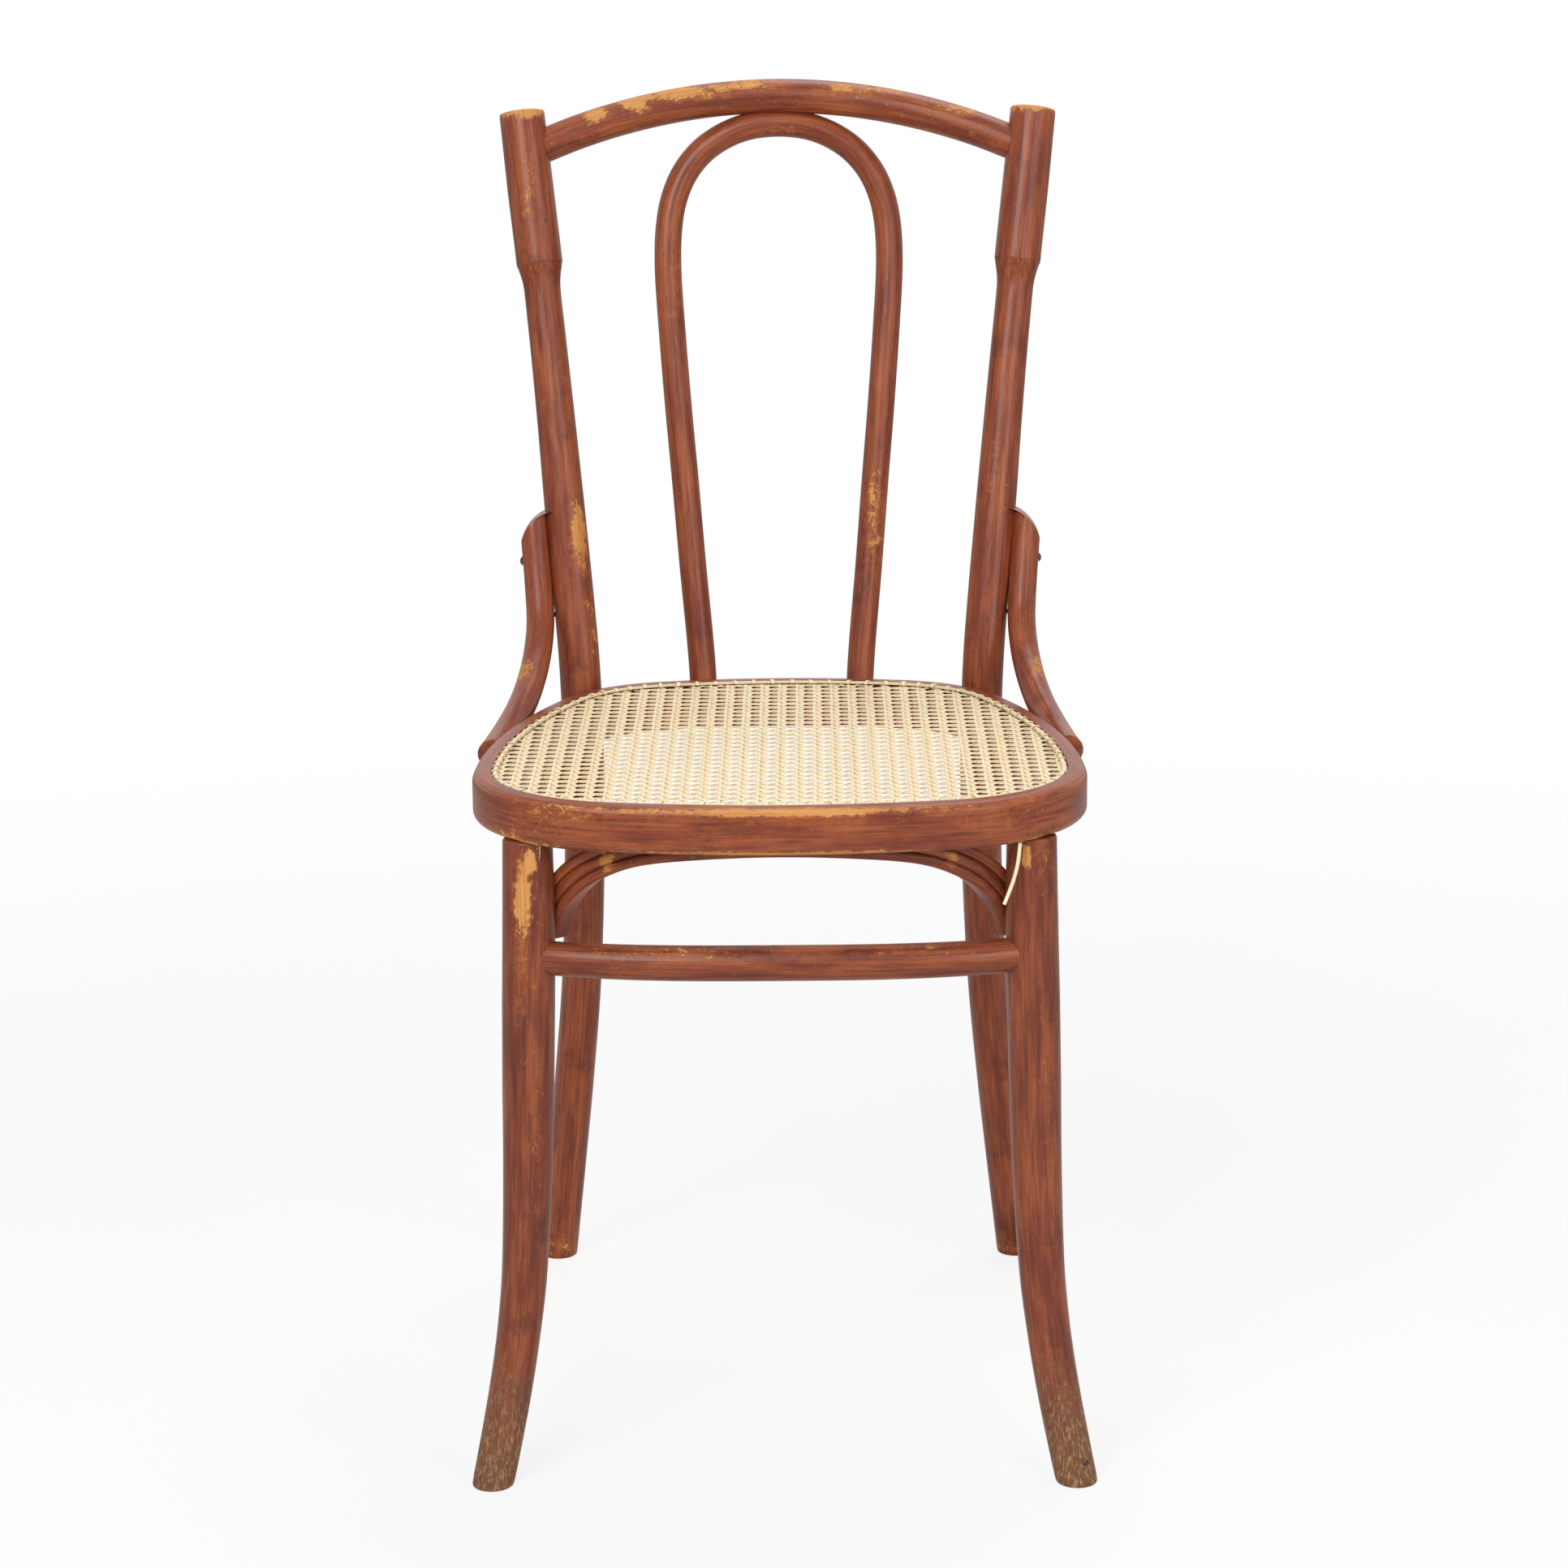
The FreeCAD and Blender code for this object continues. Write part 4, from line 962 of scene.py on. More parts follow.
@dataclass
class BackPosts:
    """The two back legs, which run up past the seat into cylindrical heads."""

    shaft: tuple[Station, ...] = (
        (174.0, 474.0, 0.0, 27.0),
        (173.4, 473.2, 5.0, 27.1),
        (166.6, 462.5, 70.0, 28.6),
        (159.0, 449.5, 140.0, 29.2),
        (151.0, 433.5, 222.0, 29.2),
        (146.4, 417.5, 300.0, 29.2),
        (144.2, 402.5, 370.0, 29.4),
        (143.9, 392.5, 430.0, 29.6),
        (145.7, 394.5, 480.0, 29.4),
        (149.9, 405.0, 530.0, 29.3),
        (155.6, 419.0, 590.0, 28.9),
        (160.2, 431.0, 640.0, 27.6),
        (165.1, 443.0, 690.0, 26.6),
        (169.5, 453.3, 732.0, 26.2),
        (170.3, 455.2, 740.0, 26.4),
        (170.8, 456.3, 745.0, 27.4),
        (171.3, 457.4, 750.0, 29.4),
        (171.6, 458.1, 753.0, 30.9),
        (171.8, 458.6, 755.2, 31.8),
        (171.85, 458.7, 755.7, 32.2),
        (172.0, 459.0, 756.6, 33.0),
        (172.05, 459.1, 757.1, 33.2),
        (172.2, 459.4, 758.4, 33.3),
        (173.4, 462.0, 769.0, 33.3),
        (178.0, 471.4, 808.0, 33.4),
        (184.2, 484.5, 863.0, 32.6),
    )
    left_spots: tuple[WearSpot, ...] = (
        WearSpot(-184, 484, 866, (34, 40, 10), 1.3),
        WearSpot(-179, 458, 805, (7, 20, 50), 0.65),
        WearSpot(-144, 402, 572, (11, 20, 46), 0.95),
        WearSpot(-137, 392, 498, (10, 18, 60), 0.6),
        WearSpot(-150, 430, 680, (10, 20, 70), 0.4),
        WearSpot(-172, 470, 10, (26, 26, 34), 0.6),
    )
    right_spots: tuple[WearSpot, ...] = (
        WearSpot(184, 484, 866, (34, 40, 9), 1.2),
        WearSpot(150, 410, 620, (12, 20, 120), 0.3),
        WearSpot(172, 470, 10, (26, 26, 30), 0.55),
    )
    end_radius: float = 0.0016
    base_wear: float = 0.10
    grain_shift: float = 1.3

    def build(self, material: bpy.types.Material) -> None:
        """Make both posts."""
        for side, spots in ((Side.LEFT, self.left_spots), (Side.RIGHT, self.right_spots)):
            label = side.name.lower()
            BentRod(
                name=label + "_back_post_wood",
                node=label + "_back_post",
                stations=on_side(self.shaft, side),
                reference=Vector((0, 1, 0)),
                end_radius=self.end_radius,
                spots=spots,
                base_wear=self.base_wear,
                grain_shift=self.grain_shift * side.value,
            ).build(material)


@dataclass
class CrestRail:
    """Round crest rail, arched in front view and bowed backwards."""

    diameter: float = 24.5
    height: float = 871.8
    arch_radius: float = 453.0
    half_spacing: float = 182.0
    end_setback: float = 479.5
    bow: float = 25.0
    reach: float = 174.0
    spots: tuple[WearSpot, ...] = (
        WearSpot(-131, 484, 861, (14, 20, 9), 1.0),
        WearSpot(-104, 488, 869, (18, 20, 11), 0.95),
        WearSpot(-74, 491, 877, (52, 18, 9), 1.05),
        WearSpot(-20, 494, 882, (36, 16, 8), 0.9),
        WearSpot(70, 494, 878, (70, 14, 10), 0.6),
        WearSpot(135, 488, 864, (45, 14, 12), 0.6),
    )
    base_wear: float = 0.16
    grain_shift: float = 3.1
    stations_each_way: int = 6

    def point(self, x: float) -> Station:
        """Station of the rail at a side distance, in millimetres."""
        drop = self.arch_radius - math.sqrt(self.arch_radius**2 - x * x)
        bow = self.bow * (1 - (x / self.half_spacing) ** 2)
        return x, self.end_setback + bow, self.height - drop, self.diameter

    def build(self, material: bpy.types.Material) -> None:
        """Make the rail."""
        count = self.stations_each_way
        stations = [self.point(self.reach * index / count) for index in range(-count, count + 1)]
        BentRod(
            name="crest_rail_wood",
            node="crest_rail",
            stations=stations,
            reference=Vector((0, 0, 1)),
            spots=self.spots,
            base_wear=self.base_wear,
            grain_shift=self.grain_shift,
        ).build(material)


@dataclass
class BackHoop:
    """Inverted U of round rod between the ring's back and the crest rail."""

    diameter: float = 19.5
    foot_setback: float = 412.0
    foot_height: float = 437.0
    apex_setback: float = 504.5
    outline: tuple[tuple[float, float], ...] = (
        (56.0, 437.0),
        (58.0, 475.0),
        (63.9, 540.0),
        (68.9, 600.0),
        (73.9, 657.0),
        (78.2, 714.0),
        (80.3, 752.0),
        (79.4, 779.0),
        (75.4, 800.0),
        (66.4, 819.5),
        (50.5, 836.5),
        (27.0, 848.5),
        (0.0, 852.2),
    )
    spots: tuple[WearSpot, ...] = (
        WearSpot(-76, 480, 740, (14, 24, 90), 0.4),
        WearSpot(0, 496, 846, (40, 14, 10), 0.35),
        WearSpot(68, 436, 570, (12, 20, 85), 0.65),
    )
    base_wear: float = 0.12
    grain_shift: float = 5.7
    facets: int = 32

    def build(self, material: bpy.types.Material) -> None:
        """Make the hoop."""
        lean = (self.apex_setback - self.foot_setback) / (self.outline[-1][1] - self.foot_height)
        half = []
        for x, height in self.outline:
            half.append((x, self.foot_setback + (height - self.foot_height) * lean, height, self.diameter))
        stations = on_side(half, Side.LEFT) + list(reversed(half[:-1]))
        BentRod(
            name="back_hoop_wood",
            node="back_hoop",
            stations=stations,
            reference=Vector((0, 1, 0)),
            around=self.facets,
            spots=self.spots,
            base_wear=self.base_wear,
            grain_shift=self.grain_shift,
        ).build(material)


@dataclass
class FrontLegs:
    """Swelled front legs with curved feet and the bowed stretcher between them."""

    leg: tuple[Station, ...] = (
        (193.2, 16.0, 0.0, 27.2),
        (192.2, 17.0, 5.0, 27.3),
        (189.4, 20.0, 18.0, 27.6),
        (181.2, 28.0, 60.0, 28.2),
        (174.9, 34.5, 100.0, 28.8),
        (170.5, 40.0, 141.0, 30.2),
        (167.3, 46.0, 210.0, 32.6),
        (166.0, 49.5, 265.0, 34.2),
        (164.8, 52.0, 320.0, 34.8),
        (163.6, 54.0, 374.0, 34.6),
        (163.3, 55.4, 431.0, 32.6),
    )
    leg_base_wear: float = 0.04
    leg_end_radius: float = 0.0016
    leg_grain_shift: float = 7.9
    leg_grain_step: float = 1.7
    stretcher_end: tuple[float, float] = (164.2, 53.2)
    stretcher_height: float = 352.2
    stretcher_bow: float = 21.0
    stretcher_diameters: tuple[float, float] = (23.4, 22.0)
    stretcher_base_wear: float = 0.05
    stretcher_grain_shift: float = 11.4
    stretcher_stations_each_way: int = 8
    left_spots: tuple[WearSpot, ...] = (
        WearSpot(-166, 36, 398, (9, 20, 38), 1.2),
        WearSpot(-168, 40, 350, (12, 16, 60), 0.4),
        WearSpot(-160, 38, 420, (4.5, 12, 10), 2.4),
        WearSpot(-190, 18, 6, (26, 26, 34), 0.7),
        WearSpot(-160, 34, 240, (12, 12, 120), 0.3),
    )
    right_spots: tuple[WearSpot, ...] = (
        WearSpot(170, 36, 420, (20, 14, 18), 0.55),
        WearSpot(159, 38, 420, (4.0, 12, 10), 2.4),
        WearSpot(190, 18, 6, (26, 26, 34), 0.7),
        WearSpot(172, 36, 240, (10, 14, 110), 0.35),
    )
    stretcher_spots: tuple[WearSpot, ...] = (
        WearSpot(-60, 28, 361, (110, 16, 7), 0.55),
        WearSpot(90, 30, 361, (80, 16, 7), 0.45),
    )

    def build(self, material: bpy.types.Material) -> None:
        """Make both legs and the stretcher."""
        for side, spots in ((Side.LEFT, self.left_spots), (Side.RIGHT, self.right_spots)):
            label = side.name.lower()
            BentRod(
                name=label + "_front_leg_wood",
                node=label + "_front_leg",
                stations=on_side(self.leg, side),
                reference=Vector((0, 1, 0)),
                end_radius=self.leg_end_radius,
                spots=spots,
                base_wear=self.leg_base_wear,
                grain_shift=self.leg_grain_shift + self.leg_grain_step * side.value,
            ).build(material)
        end_x, end_setback = self.stretcher_end
        thick, thin = self.stretcher_diameters
        stations = []
        count = self.stretcher_stations_each_way
        for index in range(-count, count + 1):
            share = index / count
            towards_end = abs(share) ** 3
            setback = end_setback - self.stretcher_bow * (1 - towards_end)
            diameter = thick + (thin - thick) * towards_end
            stations.append((end_x * share, setback, self.stretcher_height, diameter))
        BentRod(
            name="front_stretcher_wood",
            node="front_stretcher",
            stations=stations,
            reference=Vector((0, 0, 1)),
            spots=self.stretcher_spots,
            base_wear=self.stretcher_base_wear,
            grain_shift=self.stretcher_grain_shift,
        ).build(material)


@dataclass
class HipBraces:
    """Round braces that bend from the ring's sides up the outside of the posts, to a rounded blade tip."""

    diameter: float = 20.0
    line: tuple[tuple[float, float, float], ...] = (
        (196.5, 212.0, 451.0),
        (193.0, 245.0, 451.5),
        (188.5, 280.0, 454.5),
        (182.5, 315.0, 462.0),
        (177.5, 345.0, 473.5),
        (174.0, 370.0, 489.0),
        (172.6, 388.0, 508.0),
        (174.0, 400.0, 532.0),
        (176.3, 409.0, 560.0),
        (178.6, 417.0, 590.0),
    )
    bevel_from: float = 556.0
    bevel_radius: float = 30.0
    bevel_centre_x: float = 157.4
    nose_radius: float = 14.0
    nose_setback: float = 223.5
    spots: tuple[WearSpot, ...] = (
        WearSpot(184, 352, 478, (16, 40, 22), 0.85),
        WearSpot(184, 395, 520, (12, 24, 40), 0.35),
        WearSpot(200, 240, 458, (14, 40, 10), 0.4),
    )
    base_wear: float = 0.05
    grain_shift: float = 14.2
    grain_step: float = 1.1
    step: float = 0.0016
    facets: int = 48

    def shaped(self, side: Side) -> Callable[[Vector], Vector]:
        """Return the cut of the tip and the foot on one side.

        Args:
            side: the side of the chair.

        Returns:
            A function that moves a point onto the cut surface.
        """

        def cut(point: Vector) -> Vector:
            """Move one point onto the cut surface."""
            x, y, z = abs(point.x) / MM, (point.y - FRONT_Y) / MM, point.z / MM
            if z > self.bevel_from:
                rise = min(z - self.bevel_from, self.bevel_radius)
                x = min(x, self.bevel_centre_x + math.sqrt(self.bevel_radius**2 - rise**2))
            if y < self.nose_setback:
                drop = min(abs(z - self.line[0][2]), self.nose_radius)
                y = max(y, self.nose_setback - math.sqrt(self.nose_radius**2 - drop**2))
            return Vector((side.value * x * MM, FRONT_Y + y * MM, z * MM))

        return cut

    def build(self, material: bpy.types.Material) -> None:
        """Make both braces."""
        for side in Side:
            label = side.name.lower()
            BentRod(
                name=label + "_hip_brace_wood",
                node=label + "_hip_brace",
                stations=on_side(((*place, self.diameter) for place in self.line), side),
                reference=Vector((0, 0, 1)),
                step=self.step,
                around=self.facets,
                spots=[spot.on_side(side) for spot in self.spots],
                base_wear=self.base_wear,
                grain_shift=self.grain_shift + self.grain_step * side.value,
                shape=self.shaped(side),
            ).build(material)


@dataclass
class ReededArches:
    """Flat bows with three reeds under the seat, at the front and at both sides."""

    outline: SeatOutline
    width: float = 22.0
    depth: float = 14.0
    rise: float = 2.4
    reeds: int = 3
    ring_width: float = 29.0
    front_line: tuple[tuple[float, float], ...] = (
        (0.0, 434.4),
        (60.0, 431.6),
        (95.0, 426.4),
        (118.0, 417.4),
        (135.0, 405.0),
        (147.5, 388.0),
        (155.0, 366.0),
    )
    side_line: tuple[tuple[float, float, float], ...] = (
        (161.5, 72.0, 366.0),
        (164.0, 82.0, 389.0),
        (167.5, 103.0, 408.0),
        (171.0, 138.0, 417.5),
        (173.0, 200.0, 420.0),
        (171.5, 262.0, 420.0),
        (168.0, 318.0, 417.0),
        (164.5, 348.0, 406.0),
        (161.0, 366.0, 388.0),
        (158.5, 376.0, 366.0),
    )
    front_spots: tuple[WearSpot, ...] = (
        WearSpot(-111, 38, 420, (10, 20, 12), 1.1),
        WearSpot(111, 38, 420, (9, 20, 10), 0.8),
    )
    front_grain_shift: float = 21.0
    side_grain_shift: float = 25.0
    crown_wear: float = 0.2
    crown_width: float = 0.3
    reed_facets: int = 8
    row_spacing: float = 0.004

    def profile(self) -> list[Vector]:
        """Section of a bow: X is its width, +Y is inwards and the reeds face -Y."""
        half, back = self.width * MM / 2, self.depth * MM / 2
        flat = -back + self.rise * MM
        reed = self.width * MM / self.reeds
        made = []
        for index in range(self.reeds):
            for piece in range(self.reed_facets):
                turn = math.pi * piece / self.reed_facets
                x = -half + reed * (index + 0.5 - 0.5 * math.cos(turn))
                made.append(Vector((x, flat - self.rise * MM * math.sin(turn), 0)))
        made += [Vector((half, flat, 0)), Vector((half, back, 0)), Vector((-half, back, 0))]
        return made

    def bow(
        self,
        name: str,
        node: str,
        places: Sequence[Vector],
        outward: Sequence[Vector],
        shift: float,
        spots: Sequence[WearSpot],
        material: bpy.types.Material,
    ) -> None:
        """Make one bow.

        Args:
            name: the piece's name.
            node: the CAD node that it stands for.
            places: points along its middle.
            outward: the direction in which its reeds face at each point.
            shift: where its grain starts.
            spots: worn places.
            material: its lacquer.
        """
        rows = smooth_line([(*place, *out) for place, out in zip(places, outward)], self.row_spacing)
        frames = []
        travelled = shift
        for index, row in enumerate(rows):
            place = Vector(row[:3])
            ahead = Vector(rows[min(index + 1, len(rows) - 1)][:3])
            behind = Vector(rows[max(index - 1, 0)][:3])
            tangent = (ahead - behind).normalized()
            inward = Vector(row[3:]) * -1
            inward = (inward - tangent * inward.dot(tangent)).normalized()
            if index:
                travelled += (place - Vector(rows[index - 1][:3])).length
            frames.append(Frame(place, inward.cross(tangent), inward, travelled))
        bm = sweep(self.profile(), frames)
        age(bm, spots, self._crown_wear)
        make_piece(name, bm, material, [node])

    def _crown_wear(self, _place: Vector, grain: Vector) -> float:
        """Light wear on the reeds' crowns."""
        if grain[1] >= 0:
            return 0.0
        reed = self.width * MM / self.reeds
        from_crown = abs((grain[0] / reed + 0.5 * self.reeds) % 1.0 - 0.5)
        return self.crown_wear * max(0.0, 1 - from_crown / self.crown_width)

    def build(self, material: bpy.types.Material) -> None:
        """Make the front bow and the two side bows."""
        half = []
        inset = self.ring_width * MM
        for x, height in self.front_line:
            point, out = self._wall_at(x * MM, inset)
            centre = point - out * (self.depth / 2 - self.rise) * MM
            half.append((Vector((centre.x, FRONT_Y + centre.y, height * MM)), Vector((out.x, out.y, 0))))
        other = [(Vector((-p.x, p.y, p.z)), Vector((-o.x, o.y, 0))) for p, o in reversed(half[1:])]
        stations = other + half
        places = [place for place, _ in stations]
        outward = [out for _, out in stations]
        shift = self.front_grain_shift
        self.bow("front_arch_wood", "front_arch", places, outward, shift, self.front_spots, material)
        for side in Side:
            label = side.name.lower()
            places = [at(side.value * x, setback, height) for x, setback, height in self.side_line]
            outward = [Vector((side.value, 0, 0))] * len(places)
            shift = self.side_grain_shift + side.value
            self.bow(label + "_side_arch_wood", label + "_side_arch", places, outward, shift, (), material)

    def _wall_at(self, x: float, inset: float) -> tuple[Vector, Vector]:
        """Point of the ring's inner wall, near the front, at a side distance, and its outward direction."""
        for centre, radius, start, end in self.outline.arcs[:2]:
            turn = -math.acos(min(1.0, (x - centre.x) / (radius - inset)))
            if start - TOLERANCE <= turn <= end + TOLERANCE:
                outward = Vector((math.cos(turn), math.sin(turn)))
                return centre + outward * (radius - inset), outward
        raise ValueError("the point isn't on the front of the seat")


# The caned seat


class Weave(Enum):
    """Families of strands in a six-way cane seat, with their direction as x and setback."""

    FRONT_TO_BACK = (0.0, 1.0)
    SIDE_TO_SIDE = (1.0, 0.0)
    RISING = (math.sqrt(0.5), math.sqrt(0.5))
    FALLING = (math.sqrt(0.5), -math.sqrt(0.5))


@dataclass
class CaneSeat:
    """Hand-woven six-way cane, its binder and the knots that tie the binder down."""

    outline: SeatOutline
    rng: random.Random
    pitch: float = 0.0124
    strand_width: float = 0.0022
    strand_thickness: float = 0.0005
    strand_section: tuple[tuple[float, float], ...] = (
        (-0.5, -0.5),
        (0.5, -0.5),
        (0.5, 0.1),
        (0.0, 0.5),
        (-0.5, 0.1),
    )
    strand_wander: float = 0.00025
    strand_width_spread: tuple[float, float] = (0.92, 1.06)
    sway: float = 0.00012
    sway_rate: float = 70.0
    sway_phases: float = 20.0
    grain_phases: float = 9.0
    stations_per_pitch: float = 4.0
    stations_per_diagonal_pitch: float = 5.66
    pair_gap: float = 0.00045
    middle_height: float = 0.4594
    lift: float = 0.0005
    inset: float = 0.0158
    middle_setback: float = 0.20525
    binder_inset: float = 0.0152
    binder_width: float = 0.0034
    binder_thickness: float = 0.0015
    binder_shoulder: float = 0.0006
    binder_crown: float = 0.55
    binder_top: float = 0.4620
    binder_step: float = 0.006
    binder_tone: float = 0.35
    knot_count: int = 96
    knot_skew: float = 0.0010
    knot_overhang: tuple[float, float] = (0.0005, 0.0013)
    knot_half_width: tuple[float, float] = (0.0010, 0.0017)
    knot_rise: tuple[float, float] = (0.0016, 0.0024)
    knot_foot: float = 0.0012
    knot_end: float = 0.0014
    knot_dome: float = 0.0002
    knot_fullness: float = 0.6
    knot_segments: tuple[int, int] = (2, 6)
    side_to_side_share: float = 0.35
    pairs_each_way: int = 18
    diagonals_each_way: int = 34
    knot_thickness: float = 0.0005
    knot_search_step: float = 0.001

    def height_at(self, family: Weave, second: bool, x: float, setback: float) -> float:
        """Height of a strand's middle, so that the families pass over and under each other.

        Args:
            family: the strand's family.
            second: whether it is the second of its pair.
            x: side distance.
            setback: distance behind the seat's front.

        Returns:
            The height above the floor.
        """
        if family is Weave.FRONT_TO_BACK:
            wave = 0.5 + 0.5 * math.cos(2 * math.pi * (setback - self.middle_setback) / self.pitch)
            return self.middle_height + self.lift * wave * (1 if second else -1)
        if family is Weave.SIDE_TO_SIDE:
            wave = 0.5 + 0.5 * math.cos(2 * math.pi * x / self.pitch)
            lift = self.side_to_side_share * self.lift
            return self.middle_height + lift * wave * (1 if second else -1)
        wave = math.cos(2 * math.pi * x / self.pitch)
        return self.middle_height + self.lift * wave * (-1 if family is Weave.RISING else 1)

    def lines(self, family: Weave) -> list[tuple[Vector, bool]]:
        """List the origins of a family's strands.

        Args:
            family: the family.

        Returns:
            A point on each strand, and whether it is the second of its pair.
        """
        direction = Vector(family.value)
        aside = Vector((-direction.y, direction.x))
        centre = Vector((0.0, self.middle_setback))
        made = []
        if family in (Weave.FRONT_TO_BACK, Weave.SIDE_TO_SIDE):
            offset = (self.strand_width + self.pair_gap) / 2
            for index in range(-self.pairs_each_way, self.pairs_each_way + 1):
                for second in (False, True):
                    shift = index * self.pitch + (offset if second else -offset)
                    made.append((centre + aside * shift, second))
        else:
            spacing = self.pitch * math.sqrt(0.5)
            for index in range(-self.diagonals_each_way, self.diagonals_each_way):
                made.append((centre + aside * ((index + 0.5) * spacing), False))
        return made

    def build_family(self, family: Weave, material: bpy.types.Material) -> bpy.types.Object:
        """Weave one family of strands.

        Args:
            family: the family.
            material: the cane.

        Returns:
            Its piece.
        """
        bm = bmesh.new()
        grain = bm.verts.layers.float_vector.new("grain")
        tone = bm.verts.layers.float.new("strand")
        direction = Vector(family.value)
        aside = Vector((-direction.y, direction.x))
        straight = family in (Weave.FRONT_TO_BACK, Weave.SIDE_TO_SIDE)
        spacing = self.pitch / (self.stations_per_pitch if straight else self.stations_per_diagonal_pitch)
        sides = len(self.strand_section)
        for origin, second in self.lines(family):
            ends = self.outline.chord(origin, direction, self.inset)
            if ends is None or ends[1] - ends[0] < 2 * spacing:
                continue
            count = max(2, round((ends[1] - ends[0]) / spacing))
            shade = self.rng.random()
            wander = self.rng.uniform(-self.strand_wander, self.strand_wander)
            width = self.strand_width * self.rng.uniform(*self.strand_width_spread)
            known = len(bm.verts)
            bmesh.ops.create_grid(bm, x_segments=sides, y_segments=count, size=1.0)
            bm.verts.ensure_lookup_table()
            for vert in bm.verts[known:]:
                side, rise = self.strand_section[round((vert.co.x + 1) * sides / 2) % sides]
                along = ends[0] + (ends[1] - ends[0]) * (vert.co.y + 1) / 2
                sway = wander + self.sway * math.sin(along * self.sway_rate + shade * self.sway_phases)
                flat = origin + direction * along
                placed = flat + aside * (side * width + sway)
                height = self.height_at(family, second, flat.x, flat.y) + rise * self.strand_thickness
                vert.co = (placed.x, FRONT_Y + placed.y, height)
                vert[grain] = (side * width, rise * self.strand_thickness, along + shade * self.grain_phases)
                vert[tone] = shade
        bmesh.ops.remove_doubles(bm, verts=bm.verts, dist=MERGE_DISTANCE)
        open_edges = [edge for edge in bm.edges if edge.is_boundary]
        bmesh.ops.holes_fill(bm, edges=open_edges, sides=sides)
        bmesh.ops.recalc_face_normals(bm, faces=bm.faces)
        return make_piece("cane_" + family.name.lower(), bm, material, ["cane_panel"])

    def build_binder(self, material: bpy.types.Material) -> None:
        """Lay the binder strand round the edge, with its knots."""
        half = self.binder_width / 2
        profile = strand_profile(half, -self.binder_thickness, -self.binder_shoulder, 0.0, self.binder_crown)
        frames = self.outline.frames(self.binder_inset, self.binder_top, self.binder_step)
        bm = sweep(profile, frames, closed=True)
        set_tone(bm, self.binder_tone)
        make_piece("cane_binder_strand", bm, material, ["cane_binder"])
        self.build_knots(material)

    def build_knots(self, material: bpy.types.Material) -> None:
        """Tie the binder down with short turns of cane, each a little different."""
        half = self.binder_width / 2
        bm = bmesh.new()
        grain = bm.verts.layers.float_vector.new("grain")
        tone = bm.verts.layers.float.new("strand")
        stations = self.outline.points(self.binder_inset, self.knot_search_step)
        length = stations[-1][2]
        for index in range(self.knot_count):
            wanted = (index + 0.5) * length / self.knot_count
            point, outward, along = min(stations, key=lambda station: abs(station[2] - wanted))
            known = len(bm.verts)
            columns, rows = self.knot_segments
            bmesh.ops.create_grid(bm, x_segments=columns, y_segments=rows, size=1.0)
            bm.verts.ensure_lookup_table()
            fresh = list(bm.verts[known:])
            shade = self.rng.random()
            skew = self.rng.uniform(-self.knot_skew, self.knot_skew)
            reach = half + self.rng.uniform(*self.knot_overhang)
            broad = self.rng.uniform(*self.knot_half_width)
            bulge = self.rng.uniform(*self.knot_rise)
            for vert in fresh:
                across = vert.co.x * broad
                turn = (vert.co.y + 1) / 2 * math.pi
                out = math.cos(turn) * reach
                rise = -self.knot_end
                if 0 < turn < math.pi:
                    rise = math.sin(turn) ** self.knot_fullness * bulge - self.knot_foot
                run = Vector((-outward.y, outward.x)) * (across + skew * math.cos(turn))
                flat = point + outward * out + run
                dome = self.knot_dome * (1 - vert.co.x**2)
                vert.co = (flat.x, FRONT_Y + flat.y, self.binder_top + rise + dome)
                vert[grain] = (across, rise, out + shade * self.grain_phases)
                vert[tone] = shade
        faces = list(bm.faces)
        bmesh.ops.recalc_face_normals(bm, faces=faces)
        bmesh.ops.solidify(bm, geom=faces, thickness=self.knot_thickness)
        make_piece("cane_binder_knots", bm, material)

    def build(self, material: bpy.types.Material) -> None:
        """Weave the whole seat."""
        for family in Weave:
            self.build_family(family, material)
        self.build_binder(material)


@dataclass
class LooseEnd:
    """Free end of a cane strand that hangs beside the right front leg."""

    diameter: float = 2.4
    thickness: float = 0.9
    shoulder: float = 0.3
    crown: float = 0.5
    tone: float = 0.2
    flat_way: tuple[float, float, float] = (0.9, -0.4, 0.0)
    length: float = 41.7
    route: tuple[tuple[float, float, float], ...] = (
        (154.6, 33.0, 431.0),
        (154.0, 32.6, 421.0),
        (151.6, 31.8, 410.0),
        (148.2, 30.8, 400.0),
        (144.4, 29.8, 391.0),
    )

    def centreline(self) -> list[Vector]:
        """Read the points of the strand's NURBS line."""
        curve = bpy.data.curves.new("loose_cane_line", "CURVE")
        curve.dimensions = "3D"
        spline = curve.splines.new("NURBS")
        spline.points.add(len(self.route) - 1)
        for point, station in zip(spline.points, self.route):
            point.co = (*at(*station), 1.0)
        spline.order_u = 3
        spline.use_endpoint_u = True
        line = bpy.data.objects.new("loose_cane_line", curve)
        mesh = bpy.data.meshes.new_from_object(line)
        points = [vertex.co.copy() for vertex in mesh.vertices]
        bpy.data.objects.remove(line)
        bpy.data.meshes.remove(mesh)
        return points

    def build(self) -> bpy.types.Object:
        """Make the strand as a flat ribbon along its line.

        Returns:
            The piece, still without a material.
        """
        points = self.centreline()
        half, thick = self.diameter * MM / 2, self.thickness * MM / 2
        profile = strand_profile(half, -thick, thick * self.shoulder, thick, self.crown)
        frames = rod_frames([(*point, 1.0) for point in points], Vector(self.flat_way).normalized())
        bm = sweep(profile, frames)
        set_tone(bm, self.tone)
        piece = make_piece("loose_cane_strand", bm, None, ["loose_cane_end"])
        return piece


# Studio


